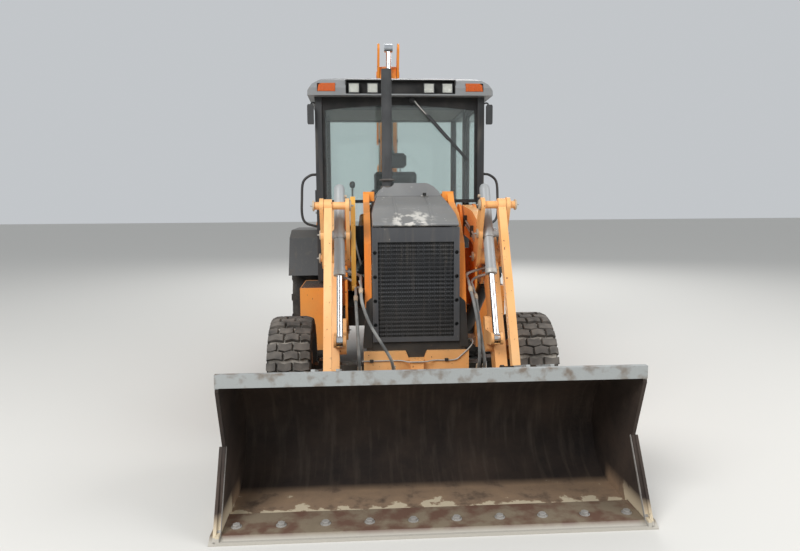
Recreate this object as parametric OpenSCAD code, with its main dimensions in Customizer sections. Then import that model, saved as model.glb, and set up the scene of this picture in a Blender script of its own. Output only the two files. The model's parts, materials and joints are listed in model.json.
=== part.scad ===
// Backhoe loader with a front bucket on twin arms and a folded rear digging arm.
// The front faces -Y and Z is up. Side outlines are drawn as [y, z] points,
// where y counts backwards from the tip of the front bucket's cutting edge.

/* [Wheels] */
// Front axle behind the cutting edge
front_axle_y = 1700; // [1650:10:1760]
// Distance between the axles
wheelbase = 2140; // [2120:10:2200]
// Front tyre diameter over the lugs
front_tyre_d = 830; // [800:5:840]
// Front tyre width
front_tyre_w = 307; // [290:1:315]
// Front track between the tyre centres
front_track = 1740; // [1730:5:1780]
// Rear tyre diameter over the lugs
rear_tyre_d = 1280; // [1240:5:1290]
// Rear tyre width
rear_tyre_w = 445; // [420:5:450]
// Rear track between the tyre centres
rear_track = 1640; // [1630:5:1700]
// Front rim diameter
front_rim_d = 430; // [400:5:440]
// Rear rim diameter
rear_rim_d = 625; // [600:5:640]
// Height of a tread lug
lug_h = 30; // [20:1:34]

/* [Loader bucket] */
// Width of the loader bucket over its side plates
bucket_w = 2180; // [2000:10:2300]
// Radius of the bucket's rounded back
bucket_back_r = 320; // [300:5:325]
// Where the flat floor meets the rounded back
bucket_floor_y = 520; // [500:5:525]
// Height of the bucket's top lip
bucket_lip_z = 810; // [790:5:830]
// How far the top lip stands behind the cutting edge
bucket_lip_y = 130; // [110:5:160]
// Thickness of the bucket's sheet
bucket_sheet = 16; // [10:1:20]

/* [Loader linkage] */
// Distance from the middle of the machine to each loader arm
arm_x = 550; // [545:1:555]
// Distance from the middle of the machine to each bucket link
link_x = 572; // [568:1:575]
// Distance from the middle of the machine to each tilt cylinder
tilt_x = 504; // [502:1:506]
// Width of a loader arm
arm_w = 78; // [70:1:84]
// Length of the bellcrank from its pivot to the link pin
bellcrank_r = 412; // [405:1:420]
// Distance from the bellcrank's pivot to the tilt cylinder's trunnion
trunnion_r = 200; // [190:1:205]
// Radius of the tilt cylinder's barrel
tilt_barrel_r = 38; // [34:1:40]
// Radius of the lift cylinder's barrel
lift_barrel_r = 46; // [42:1:50]
// Radius of the loader's pins
loader_pin_r = 25; // [20:1:28]

/* [Backhoe] */
// Swing axis behind the cutting edge
swing_y = 5110; // [5090:5:5130]
// Length of the boom between its pins
boom_len = 2490; // [2460:5:2510]
// Length of the dipper between its pins
dipper_len = 1750; // [1740:5:1780]
// Angle of the folded dipper below level
dipper_fold = 57; // [55:1:58]
// Width of the digging bucket
dig_w = 610; // [450:10:620]
// Width of the boom's box
boom_w = 200; // [180:5:210]
// Length of the rocker and of the bucket's ears
rocker_r = 280; // [275:1:285]

/* [Cab] */
// Front of the cab's pillars
cab_front_y = 2740; // [2730:5:2760]
// Back of the cab's pillars
cab_back_y = 4440; // [4420:5:4450]
// Half width of the cab over its pillars
cab_half_w = 745; // [730:5:755]
// Top of the roof
roof_z = 2750; // [2720:5:2780]
// Top of the cab's floor
floor_z = 1010; // [1000:5:1020]
// Wall of a pillar
pillar_w = 60; // [50:1:64]
// Half width of the hood
hood_half = 284; // [276:1:288]

/* [Hidden] */
$fn = 48;

orange = "#EE8A22";
faded_orange = "#F0B26B";
grey_sheet = "#9A9C9C";
black_steel = "#26282A";
worn_steel = "#5B4A40";
chrome = "#D8DBDE";
rubber = "#2B2B2B";
tinted = "#7FA9A0";

fit = 0.3;          // clearance round a pin or rod

// Points of the loader linkage in the side view
crank_in = 459;     // inner faces of a bellcrank's two plates
crank_out = 602;
arm_pivot = [2500, 1520];
bellcrank_pivot = [1440, 1280];
bucket_hinge = [970, 260];
bellcrank_angle = 119;
trunnion_angle = 124;
link_top = bellcrank_pivot + bellcrank_r * dir(bellcrank_angle);
link_bottom = bucket_hinge + bellcrank_r * dir(bellcrank_angle);
trunnion = bellcrank_pivot + trunnion_r * dir(trunnion_angle);
tilt_eye = [1028, 780];
lift_base = [2440, 580];
lift_eye = [1590, 1110];

// Points of the backhoe in the side view
boom_foot = [swing_y + 300, 760];
boom_angle = 97.4;
boom_top = boom_foot + boom_len * dir(boom_angle);
horn_pin = boom_top + 330 * dir(125);
dipper_tip = boom_top + dipper_len * dir(-dipper_fold);
dig_ear = dipper_tip + rocker_r * dir(-28);
rocker_pivot = dipper_tip - 420 * dir(-dipper_fold) + 40 * dir(90 - dipper_fold);
rocker_pin = rocker_pivot + rocker_r * dir(-28);
bucket_cyl_base = boom_top + 220 * dir(-dipper_fold) + 200 * dir(90 - dipper_fold);
boom_cyl_base = [swing_y + 60, 1010];
boom_cyl_eye = boom_foot + 1338 * dir(109.3);
dipper_cyl_base = boom_foot + 1560 * dir(107.8);

rear_axle_y = front_axle_y + wheelbase;
rail_x = 296;                        // inner face of a frame rail
rail_w = 34;
grille_half = hood_half + 6;
panel_x = hood_half + 10;            // inner face of a side panel
cowl_half = panel_x - fit;
grille_foot = 735;                   // top of the frame's front cross member
exhaust_at = [-157, 1880];           // x and y of the exhaust stack
roof_seat = 2640;                    // top of the pillars that the roof rests on
fender_top = 1400;                   // top of the rear fenders, which carry the cab's rear pillars
door_post_y = 3530;
hood_hinge = [1212, 1506];
hood_ears = [229, 259];
door_hinge_y = 3527;
door_hinge_x = cab_half_w + 12;
door_hinges = [1520, 2420];
rear_axle_r = 95;
rear_hub_x = rear_track / 2 - 10;    // inner face of the rear rim's hub
rear_axle_top = rear_tyre_d / 2 + rear_axle_r + fit;
bumper = [352, 545, 672];            // half width, bottom and top
bumper_y = [1185, 1215];
tow_boss = [44, 1148, 624];          // half width, front and top of the tow pin's boss
tow_pin_y = 1176;
tow_pin_r = 16;
arm_tube = [1105, 520];              // tube between the loader arms
arm_tube_r = 36;
dig_back_r = 250;
dig_back = dipper_tip + [83, -692];
overall_len = dig_back[0] + dig_back_r;

function dir(a) = [cos(a), sin(a)];
function span(p, q) = norm(q - p);
function heading(p, q) = atan2(q[1] - p[1], q[0] - p[0]);

module placed() { translate([0, -overall_len / 2, 0]) children(); }

module both() {
    children();
    mirror([1, 0, 0]) children();
}

// A side outline made into a plate that starts at x and is w wide
module plate(x, w) {
    translate([x, 0, 0]) rotate([90, 0, 90]) linear_extrude(w) children();
}

// A round bar along X
module cross_pin(x, w, p, r) {
    translate([x, p[0], p[1]]) rotate([0, 90, 0]) cylinder(h = w, r = r);
}

// Turns a child's Z axis from p towards q, in the plane at x
module towards(x, p, q) {
    translate([x, p[0], p[1]]) rotate([heading(p, q) - 90, 0, 0]) children();
}

// Outline of a bar with a round end of radius r at p and s at q
module bar2d(p, q, r, s) {
    a = heading(p, q);
    b = acos((r - s) / span(p, q));
    translate(p) circle(r);
    translate(q) circle(s);
    polygon([p + r * dir(a + b), p + r * dir(a - b), q + s * dir(a - b), q + s * dir(a + b)]);
}

// A hydraulic barrel with its eye at p, open towards q, len long
module barrel(x, p, q, len, r, bore_r, eye_r, eye_w, pin_r) {
    difference() {
        union() {
            cross_pin(x - eye_w / 2, eye_w, p, eye_r);
            towards(x, p, q) translate([0, 0, eye_r * 0.6]) cylinder(h = len - eye_r * 0.6, r = r);
            towards(x, p, q) translate([0, 0, len - 45]) cylinder(h = 45, r = r + 6);
        }
        cross_pin(x - eye_w, 2 * eye_w, p, pin_r + fit);
        towards(x, p, q) translate([0, 0, eye_r + 20]) cylinder(h = len, r = bore_r + fit);
    }
}

// A rod with its eye at q that reaches back to a distance "from" in front of p
module rod(x, p, q, from, r, eye_r, eye_w) {
    cross_pin(x - eye_w / 2, eye_w, q, eye_r);
    towards(x, p, q) translate([0, 0, from]) cylinder(h = span(p, q) - from, r = r);
}

// A tyre on the X axis with two staggered rows of slanted lugs
module tyre(d, w, rim_d, lugs, slant, thick) {
    r = d / 2;
    tread = r - lug_h;
    side = w / 2;
    shoulder = side * 0.86;
    reach = tan(slant) * shoulder;
    half = (reach + thick) / 2;
    top = sqrt(r * r - half * half);
    rotate([0, 90, 0]) union() {
        rotate_extrude($fn = 64) polygon([
            [rim_d / 2, -side * 0.8], [rim_d / 2 + 20, -side * 0.86], [(rim_d / 2 + tread) / 2, -side],
            [tread - 26, -side * 0.95], [tread, -side * 0.74], [tread, side * 0.74],
            [tread - 26, side * 0.95], [(rim_d / 2 + tread) / 2, side],
            [rim_d / 2 + 20, side * 0.86], [rim_d / 2, side * 0.8]]);
        for (i = [0 : lugs - 1], row = [0, 1])
            rotate([0, 0, (i + row / 2) * 360 / lugs]) mirror([0, 0, row])
                translate([tread - 34, 0, 0]) rotate([0, 90, 0])
                    linear_extrude(top - tread + 34) polygon([
                        [-6, half - thick], [-6, half], [-side * 0.5, half - reach * 0.35],
                        [-side * 0.97, thick - half], [-side * 0.97, -half],
                        [-side * 0.45, half - reach * 0.5 - thick]]);
    }
}

// A dished rim and hub on the X axis, the dish towards +X
module rim(d, w, dish, hub_r) {
    rotate([0, 90, 0]) difference() {
        rotate_extrude($fn = 64) polygon([
            [0, dish - 70], [hub_r, dish - 70], [hub_r, dish - 16], [d / 2 - 62, dish - 46],
            [d / 2 - 50, -w / 2], [d / 2 - fit, -w / 2], [d / 2 - fit, w / 2], [d / 2 - 18, w / 2],
            [d / 2 - 30, dish + 6], [d / 2 - 58, dish - 26], [hub_r + 26, dish],
            [hub_r, dish + 4], [hub_r - 8, dish + 70], [0, dish + 70]]);
        for (i = [0 : 7])
            rotate([0, 0, i * 45 + 22]) translate([(d / 2 + hub_r) / 2 - 14, 0, dish - 90])
                cylinder(h = 160, r = 17);
    }
}

module frame() { color(black_steel) placed() {
    both() plate(rail_x, rail_w) polygon([
        [1215, 600], [1480, 560], [1560, 640], [front_axle_y + 140, 640], [front_axle_y + 200, 540],
        [rear_axle_y - 280, 540], [rear_axle_y - 140, rear_axle_top],
        [rear_axle_y + 140, rear_axle_top], [rear_axle_y + 280, 540], [4500 - fit, 540],
        [4500 - fit, 900], [2700, 900], [2600, 820], [1292, 820], [1292, grille_foot],
        [1215, grille_foot]]);
    // Outrigger that carries the tower
    both() translate([rail_x + rail_w, 2520, 600]) cube([305 - fit, 150, 150]);
    // Cross members
    for (m = [[1215, 40, 610, 125], [front_axle_y - 100, 200, 640 + fit, 60 - 2 * fit],
              [2900, 120, 560, 200], [4300, 90, 560, 200]])
        translate([-rail_x, m[0], m[2]]) cube([2 * rail_x, m[1], m[3]]);
    // Cab mounts and brackets below the side panels
    both() for (y = [2850, 4340]) translate([313, y, 890]) cylinder(h = 80 - fit, r = 42);
    both() for (y = [1500, 2480]) translate([rail_x, y, 780]) cube([rail_w, 60, 50 - fit]);
} }

// Front plate of the frame, with a notch in its top and a boss for a tow pin under the notch
module front_bumper() { color(faded_orange) placed() {
    thick = bumper_y[1] - bumper_y[0];
    difference() {
        union() {
            translate([-bumper[0], bumper_y[0], bumper[1]])
                cube([2 * bumper[0], thick, bumper[2] - bumper[1]]);
            translate([-tow_boss[0], tow_boss[1], bumper[1]])
                cube([2 * tow_boss[0], bumper_y[1] - tow_boss[1], tow_boss[2] - bumper[1]]);
        }
        cross_plate(bumper_y[0] - 1, thick + 2)
            polygon([[-72, bumper[2] + 1], [-52, tow_boss[2]], [52, tow_boss[2]], [72, bumper[2] + 1]]);
        translate([0, tow_pin_y, bumper[1] - 1]) cylinder(h = tow_boss[2] - bumper[1] + 2, r = tow_pin_r);
    }
} }

module loader_towers() { color(orange) placed() both() difference() {
    union() {
        for (x = [arm_x - arm_w / 2 - 14 - 20, arm_x + arm_w / 2 + 14]) plate(x, 20) {
            bar2d(lift_base, arm_pivot, 85, 128);
            polygon([lift_base + [0, -60], [2670, 560], [2690, 1250], arm_pivot + [80, 60], arm_pivot]);
        }
        cross_pin(arm_x - 73, 146, arm_pivot, loader_pin_r + 5);
        cross_pin(arm_x - 73, 146, lift_base, loader_pin_r);
        // Web behind the arm
        translate([arm_x - 53, 2640, 760]) cube([106, 20, 500]);
    }
    // Seat on the frame's outrigger
    translate([290, 2500, 600]) cube([334, 170, 150]);
} }

module front_axle() { color(black_steel) placed() {
    translate([0, front_axle_y, front_tyre_d / 2]) {
        translate([310 - front_track / 2, -60, -55]) cube([front_track - 620, 120, 110]);
        rotate([0, 90, 0]) translate([0, 0, -110]) cylinder(h = 220, r = 150);
        translate([-90, -100, 0]) cube([180, 200, 225]);
        // Forked ends that hold the knuckles' kingpins
        both() translate([front_track / 2 - 340, -55, -92]) cube([30, 110, 184]);
        both() for (z = [-92, 64]) difference() {
            translate([front_track / 2 - 312, -55, z]) cube([122, 110, 28]);
            translate([front_track / 2 - 235, 0, z - 1]) cylinder(h = 30, r = 24 + fit);
        }
    }
} }

module rear_axle() { color(black_steel) placed() translate([0, rear_axle_y, rear_tyre_d / 2]) {
    rotate([0, 90, 0]) translate([0, 0, fit - rear_hub_x])
        cylinder(h = 2 * (rear_hub_x - fit), r = rear_axle_r);
    rotate([0, 90, 0]) translate([0, 0, -190]) cylinder(h = 380, r = 215);
} }

module engine() { color("#44484A") placed() translate([-240, 1560, 700]) cube([480, 900, 560]); }

grille_open = 252;    // half width of the grille's opening
grille_z = [765, 1400];

module grille() { color(black_steel) placed() {
    difference() {
        plate(-grille_half, 2 * grille_half) polygon([
            [1195, grille_foot + fit], [1200, 1495], [1285, 1500], [1285, grille_foot + fit]]);
        plate(-grille_open, 2 * grille_open) polygon([
            [1100, grille_z[0]], [1100, grille_z[1]], [1260, grille_z[1]], [1260, grille_z[0]]]);
        // Round holes in the side cheeks
        both() for (z = [850, 1010, 1170, 1330])
            translate([(grille_half + grille_open) / 2, 1150, z]) rotate([-90, 0, 0])
                cylinder(h = 90, r = 13);
    }
    for (z = [grille_z[0] + 16 : 28 : grille_z[1] - 12])
        translate([-grille_open - 3, 1214, z]) cube([2 * grille_open + 6, 8, 10]);
    for (x = [-234 : 36 : 234])
        translate([x - 4, 1218, grille_z[0] - 4]) cube([8, 8, grille_z[1] - grille_z[0] + 8]);
    // Ears and pins of the hood's hinge
    both() for (x = hood_ears) plate(x, 12) bar2d(hood_hinge, hood_hinge - [0, 26], 9, 9);
    both() cross_pin(hood_ears[0] + 1, hood_ears[1] - hood_ears[0] + 10, hood_hinge, 5);
} }

// Front edge of a side panel, from its bottom to its top
panel_edge = [[1215, 925], [1310, 1385], [1450, 1505], [1570, 1585], [1790, 1665], [1850, 1740]];

module side_panels() { color(orange) placed() both() {
    plate(panel_x, 12) polygon(concat(panel_edge, [
        [2660, 1720], [2690, 1560], [2690, 905], [2595, 830], [1290, 830]]));
    // Flange turned outwards along the front edge
    plate(panel_x, 46) polygon(concat(panel_edge, [
        for (i = [len(panel_edge) - 1 : -1 : 0]) panel_edge[i] + [14, -4]]));
    // Hook over the corner of the rear cowl
    translate([panel_x - 38, 1840, 1672]) cube([84, 12, 70]);
} }

// Crowned front outline of the hood and the cowl, w half wide and inset by t
module crown(w, t) {
    half = [[w - t, 1200], [w - t, 1580 - t], [264 - t, 1644 - t], [244 - t, 1696 - t],
            [222 - t, 1742 - t], [188 - t, 1780 - t], [144 - t, 1804 - t], [92 - t, 1812 - t]];
    polygon(concat(half, [for (i = [len(half) - 1 : -1 : 0]) [-half[i][0], half[i][1]]]));
}

module rear_cowl() { color(grey_sheet) placed() difference() {
    intersection() {
        plate(-cowl_half, 2 * cowl_half) polygon([
            [1735, 1300], [1760, 1440], [1760, 1705], [1850, 1806], [2690, 1815], [2690, 1300]]);
        cross_plate(1700, 1000) crown(cowl_half, 0);
    }
    intersection() {
        plate(-cowl_half, 2 * cowl_half) polygon([
            [1700, 1290], [1700, 1640], [1775, 1700], [1858, 1790], [2700, 1800], [2700, 1290]]);
        cross_plate(1690, 1020) crown(cowl_half, 14);
    }
    translate([exhaust_at[0], exhaust_at[1], 1500]) cylinder(h = 400, r = 60);
} }

module exhaust() { color("#6E7376") placed() translate([exhaust_at[0], exhaust_at[1], 0]) {
    difference() {
        union() {
            translate([0, 0, 1260 + fit]) cylinder(h = 490, r = 52);
            translate([0, 0, 1750]) cylinder(h = 890, r = 38);
        }
        translate([0, 0, 1800]) cylinder(h = 900, r = 34);
        translate([-60, -60, 2640]) rotate([35, 0, 0]) cube([120, 200, 200]);
    }
} }

module hood() { color(grey_sheet) placed() difference() {
    union() {
        difference() {
            intersection() {
                plate(-hood_half, 2 * hood_half) polygon([
                    [1205, 1506], [1215, 1530], [1480, 1632], [1755, 1706], [1755, 1500], [1714, 1300],
                    [1305, 1300], [1292, 1506]]);
                cross_plate(1200, 600) crown(hood_half, 0);
            }
            intersection() {
                plate(-hood_half, 2 * hood_half) polygon([
                    [1225, 1500], [1225, 1514], [1480, 1615], [1800, 1702], [1800, 1200], [1200, 1200]]);
                cross_plate(1190, 620) crown(hood_half, 14);
            }
            both() for (x = hood_ears) cross_pin(x - 1, 14, hood_hinge, 10);
        }
        // Hinge eyes
        both() cross_pin(hood_ears[0] + 13, hood_ears[1] - hood_ears[0] - 14, hood_hinge, 9);
    }
    both() cross_pin(hood_ears[0], 42, hood_hinge, 5 + fit);
} }

module cab_frame() { color(black_steel) placed() {
    both() {
        for (p = [[cab_front_y, floor_z], [door_post_y, fender_top + fit],
                  [cab_back_y - pillar_w, fender_top + fit]])
            translate([cab_half_w - pillar_w, p[0], p[1]])
                cube([pillar_w, pillar_w, roof_seat - p[1]]);
        translate([cab_half_w - pillar_w, cab_front_y, 2580])
            cube([pillar_w, cab_back_y - cab_front_y, 60]);
        translate([cab_half_w - pillar_w, cab_front_y, floor_z])
            cube([pillar_w, 280, 50]);
        // Hinge brackets and pins of the door
        for (z = door_hinges) {
            translate([cab_half_w - 1, door_hinge_y - 6, z]) cube([13, 40, 24]);
            translate([door_hinge_x, door_hinge_y, z]) cylinder(h = 24, r = 9);
            translate([door_hinge_x, door_hinge_y, z]) cylinder(h = 50, r = 5);
        }
    }
    for (y = [cab_front_y, cab_back_y - pillar_w]) translate([-cab_half_w, y, 2580])
        cube([2 * cab_half_w, pillar_w, 60]);
} }

module fenders() { color(black_steel) placed() {
    // Floor and lower walls
    translate([-cab_half_w, cab_front_y, floor_z - 40])
        cube([2 * cab_half_w, 290, 40]);
    translate([-594, cab_front_y, floor_z - 40]) cube([1188, cab_back_y - cab_front_y, 40]);
    both() {
        plate(580, 15) polygon([
            [3030, floor_z - 1], [cab_back_y, floor_z - 1], [cab_back_y, fender_top],
            [3500, fender_top], [3320, 1310], [3150, floor_z + 30]]);
        plate(580, 470) polygon([
            [3130, 980], [3300, 1330], [3500, fender_top], [4300, fender_top], [4470, 1300],
            [4470, 1280], [4290, fender_top - 20], [3510, fender_top - 20], [3315, 1315], [3145, 980]]);
        plate(600, 145) polygon([
            [cab_back_y, fender_top - 1], [cab_back_y - 40, fender_top - 1],
            [cab_back_y - 40, 1330], [cab_back_y, 1310]]);
    }
    translate([-580, cab_back_y - 20, floor_z - 1]) cube([1160, 20, 401]);
} }

lamp_y = 2690;        // back wall of the lamps' recess
signal_y = 2684;      // back wall of a signal lamp's pocket

module roof() { color(grey_sheet) placed() difference() {
    intersection() {
        plate(-800, 1600) polygon([
            [2640, 2580], [2628, roof_seat], [2666, roof_z - 40], [2750, roof_z - 10], [2900, roof_z],
            [4350, roof_z - 8], [4480, roof_z - 60], [4480, 2580]]);
        // Rounded ends that droop beside the pillars
        cross_plate(2600, 1900) polygon([
            [-800, 2580], [-797, 2618], [-760, 2675], [-680, 2722], [-560, 2742], [-300, roof_z],
            [300, roof_z], [560, 2742], [680, 2722], [760, 2675], [797, 2618], [800, 2580]]);
    }
    translate([-cab_half_w - 5, 2735, 2500])
        cube([2 * cab_half_w + 10, cab_back_y - 2730, roof_seat - 2500 + fit]);
    cross_plate(2780, 1620) polygon([
        [-700, roof_seat], [-660, 2685], [-540, 2705], [540, 2705], [660, 2685], [700, roof_seat]]);
    // Recess for the four work lamps and pockets for the two signal lamps
    translate([-472, 2600, 2592]) cube([944, lamp_y - 2600, 116]);
    both() translate([560, 2600, 2610]) cube([156, signal_y - 2600, 72]);
} }

module cab_glass() { color(tinted) placed() {
    translate([-cab_half_w + pillar_w, cab_front_y + 25, 1660])
        cube([2 * (cab_half_w - pillar_w), 6, 920]);
    translate([-cab_half_w + pillar_w, cab_back_y - 31, fender_top])
        cube([2 * (cab_half_w - pillar_w), 6, 1180]);
    both() translate([cab_half_w - 31, door_post_y + pillar_w, fender_top])
        cube([6, cab_back_y - door_post_y - 2 * pillar_w, 1180]);
} }

door_outline = [
    [cab_front_y + 66, floor_z + 56], [3040, floor_z + 56], [3110, 1300], [3200, 1420], [3524, 1420],
    [3524, 2564], [cab_front_y + 66, 2564]];
pane_outline = [
    [cab_front_y + 116, floor_z + 106], [3002, floor_z + 106], [3066, 1325], [3176, 1470], [3474, 1470],
    [3474, 2514], [cab_front_y + 116, 2514]];

module door(side) {
    mirror([side < 0 ? 1 : 0, 0, 0]) difference() {
        plate(cab_half_w - 45, 40) polygon(door_outline);
        plate(cab_half_w - 60, 80) polygon(pane_outline);
    }
    mirror([side < 0 ? 1 : 0, 0, 0]) for (z = door_hinges) translate([0, 0, z + 24 + fit]) difference() {
        union() {
            translate([cab_half_w - 6, door_hinge_y - 40, 0]) cube([18, 40, 24]);
            translate([door_hinge_x, door_hinge_y, 0]) cylinder(h = 24, r = 9);
        }
        translate([door_hinge_x, door_hinge_y, -5]) cylinder(h = 40, r = 5 + fit);
    }
}
module door_glass(side) {
    mirror([side < 0 ? 1 : 0, 0, 0])
        plate(cab_half_w - 28, 6) polygon(pane_outline);
}
module door_left() { color(black_steel) placed() door(1); }
module door_right() { color(black_steel) placed() door(-1); }
module door_left_glass() { color(tinted) placed() door_glass(1); }
module door_right_glass() { color(tinted) placed() door_glass(-1); }

module seat() { color("#2E2E30") placed() translate([0, 3350, floor_z]) {
    translate([-180, -150, 0]) cube([360, 340, 300]);
    translate([-250, -230, 300]) cube([500, 480, 130]);
    translate([-240, 180, 430]) cube([480, 120, 560]);
    translate([-130, 200, 990]) cube([260, 90, 180]);
} }

module console() { color("#2B2D2F") placed() {
    translate([-160, cab_front_y + 80, floor_z]) cube([320, 180, 590]);
    // Steering wheel with its column
    translate([0, cab_front_y + 230, 1640]) rotate([-25, 0, 0]) {
        difference() {
            cylinder(h = 26, r = 195);
            translate([0, 0, -5]) cylinder(h = 40, r = 167);
        }
        translate([0, 0, -120]) cylinder(h = 140, r = 32);
        for (a = [90, 210, 330]) rotate([0, 0, a]) translate([12, -15, 6]) cube([168, 30, 9]);
    }
} }

module side_boxes() { color(orange) placed() both() {
    // Step box, tapered towards its foot
    box_end = rear_axle_y - rear_tyre_d / 2 - 120;
    intersection() {
        plate(635, 250) polygon([
            [2480, 400], [2480, 940], [box_end, 940], [box_end, 560], [box_end - 80, 400]]);
        cross_plate(2470, 700) polygon([
            [635, 400], [635, 940], [885, 940], [885, 690], [825, 400]]);
    }
} }

module lamps() { color("#D9D9D2") placed() {
    for (x = [-402, -243, 243, 402]) translate([x - 47, 2645, 2597]) cube([94, 45 - fit, 84]);
    both() translate([564, 2650, 2614]) cube([148, signal_y - 2650 - fit, 64]);
} }

module knuckle() {
    translate([front_track / 2 - 235, front_axle_y, front_tyre_d / 2]) {
        translate([0, 0, -92]) cylinder(h = 184, r = 24);
        translate([-48, -48, -60]) cube([130, 96, 120]);
        rotate([0, 90, 0]) cylinder(h = 150, r = 60);
        rotate([0, 90, 0]) cylinder(h = 225 - fit, r = 35);
    }
}
module knuckle_left() { color(black_steel) placed() knuckle(); }
module knuckle_right() { color(black_steel) placed() mirror([1, 0, 0]) knuckle(); }

module front_wheel(side) {
    translate([side * front_track / 2, front_axle_y, front_tyre_d / 2]) mirror([side < 0 ? 1 : 0, 0, 0])
        children();
}
module rear_wheel(side) {
    translate([side * rear_track / 2, rear_axle_y, rear_tyre_d / 2]) mirror([side < 0 ? 1 : 0, 0, 0])
        children();
}
module front_tyre() { tyre(front_tyre_d, front_tyre_w, front_rim_d, 18, 28, 52); }
module rear_tyre() { tyre(rear_tyre_d, rear_tyre_w, rear_rim_d, 19, 36, 58); }
module front_rim() { rim(front_rim_d, front_tyre_w * 0.8, 60, 70); }
module rear_rim() { rim(rear_rim_d, rear_tyre_w * 0.8, 60, 110); }
module front_tyre_left() { color(rubber) placed() front_wheel(1) front_tyre(); }
module front_tyre_right() { color(rubber) placed() front_wheel(-1) front_tyre(); }
module front_rim_left() { color(faded_orange) placed() front_wheel(1) front_rim(); }
module front_rim_right() { color(faded_orange) placed() front_wheel(-1) front_rim(); }
module rear_tyre_left() { color(rubber) placed() rear_wheel(1) rear_tyre(); }
module rear_tyre_right() { color(rubber) placed() rear_wheel(-1) rear_tyre(); }
module rear_rim_left() { color(faded_orange) placed() rear_wheel(1) rear_rim(); }
module rear_rim_right() { color(faded_orange) placed() rear_wheel(-1) rear_rim(); }

// Where a line from p touches the circle at c, on the side s of it (1 or -1)
function touch(p, c, r, s) = c + r * dir(heading(c, p) + s * acos(r / span(p, c)));

edge_over = 34;       // how far the cutting edge reaches past each side plate
bucket_centre = [bucket_floor_y, bucket_back_r];
bucket_lip = [bucket_lip_y, bucket_lip_z];
lip_normal = heading(bucket_centre, touch(bucket_lip, bucket_centre, bucket_back_r, -1));

// Side outline of the loader bucket's hollow, inset from its outside by t
module loader_bowl(t, open_front) {
    lip = bucket_lip - t * dir(lip_normal);
    translate(bucket_centre) circle(bucket_back_r - t, $fn = 96);
    polygon([[-open_front, t], [bucket_centre[0], t], bucket_centre,
        bucket_centre + (bucket_back_r - t) * dir(lip_normal), lip,
        lip + open_front * dir(lip_normal + 90)]);
}

module loader_arms() { color(faded_orange) placed() {
    elbow = bellcrank_pivot + [35, -45];
    // Swan neck behind the elbow
    neck = bellcrank_pivot + [100, 35];
    rise = [2020, 1475];
    both() difference() {
        union() {
            plate(arm_x - arm_w / 2, arm_w) {
                bar2d(arm_pivot, rise, 120, 118);
                bar2d(rise, neck, 118, 125);
                bar2d(neck, elbow, 125, 80);
                bar2d(elbow, bucket_hinge, 80, 55);
            }
            cross_pin(arm_x - 51, 102, arm_pivot, 70);
            cross_pin(crank_in + 1, crank_out - crank_in - 2, bellcrank_pivot, 54);
            cross_pin(arm_x - 51, 102, bucket_hinge, 50);
            cross_pin(crank_in - 38, crank_out - crank_in + 76, bellcrank_pivot, loader_pin_r);
            // Bracket with the ears for the tilt rod's eye
            for (x = [tilt_x - 39, tilt_x + 21]) plate(x, 18) bar2d(tilt_eye, [1200, 760], 38, 50);
            plate(tilt_x - 39, 78) bar2d([1250, 860], [1185, 690], 30, 30);
            // Ears for the lift rod's eye
            for (x = [arm_x - 51, arm_x + 31])
                plate(x, 20) bar2d(lift_eye, [1620, 1270], 42, 62);
        }
        cross_pin(arm_x - 60, 120, arm_pivot, loader_pin_r + 5 + fit);
        cross_pin(arm_x - 60, 120, bucket_hinge, loader_pin_r + fit);
    }
    cross_pin(-arm_x + arm_w / 2 - 1, 2 * arm_x - arm_w + 2, arm_tube, arm_tube_r);
} }

module bellcranks() { color(faded_orange) placed() both() {
    difference() {
        for (x = [crank_in - 25, crank_out]) plate(x, 25) {
            bar2d(bellcrank_pivot, link_top, 72, 48);
            bar2d(bellcrank_pivot, trunnion, 72, 58);
        }
        cross_pin(crank_in - 50, 260, bellcrank_pivot, loader_pin_r + fit);
        cross_pin(crank_in - 50, 260, trunnion, loader_pin_r + fit);
    }
    cross_pin(crank_in - 28, crank_out - crank_in + 90, link_top, loader_pin_r);
} }

module bucket_links() { color(faded_orange) placed() both() difference() {
    union() {
        plate(link_x - 25, 50) bar2d(link_top, link_bottom, 30, 30);
        cross_pin(link_x - 25, 53, link_top, 42);
        cross_pin(arm_x - 50, 100, link_bottom, 42);
    }
    for (p = [link_top, link_bottom]) cross_pin(arm_x - 60, 120, p, loader_pin_r + fit);
} }

module loader_bucket() { color(worn_steel) placed() {
    half = bucket_w / 2;
    difference() {
        plate(-half, bucket_w) loader_bowl(0, 0);
        plate(-half + 18, bucket_w - 36) loader_bowl(bucket_sheet, 400);
        // Hollowed front edges of the side plates
        plate(-half - 1, bucket_w + 2)
            polygon([[-80, 45], [45, 45], [235, 410], [112, 748], [-80, 748]]);
    }
    // Bolted cutting edge, wider than the side plates
    plate(-half - edge_over, bucket_w + 2 * edge_over)
        polygon([[0, 0], [0, 6], [45, 30], [270, 30], [270, 0]]);
    // Side cutters
    both() plate(half - 1, 15) polygon([[6, 15], [52, 15], [262, 398], [234, 412]]);
    // Lip bar
    plate(-half, bucket_w) polygon([
        bucket_lip + [-18, -57], bucket_lip + [-18, 10], bucket_lip + [14, 10], bucket_lip + [14, -57]]);
    // Ears on the back
    both() for (x = [arm_x - 73, arm_x + 53]) plate(x, 20) difference() {
        union() {
            bar2d(bucket_hinge, link_bottom, 58, 50);
            polygon([
                [600, 30], bucket_hinge + [20, -50], bucket_hinge, link_bottom, link_bottom + [-10, 45],
                bucket_lip + [50, 12], bucket_lip + [10, -30], bucket_centre]);
        }
        loader_bowl(bucket_sheet - 2, 400);
    }
    both() for (p = [bucket_hinge, link_bottom])
        cross_pin(arm_x - 80, 160, p, loader_pin_r);
} }

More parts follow.
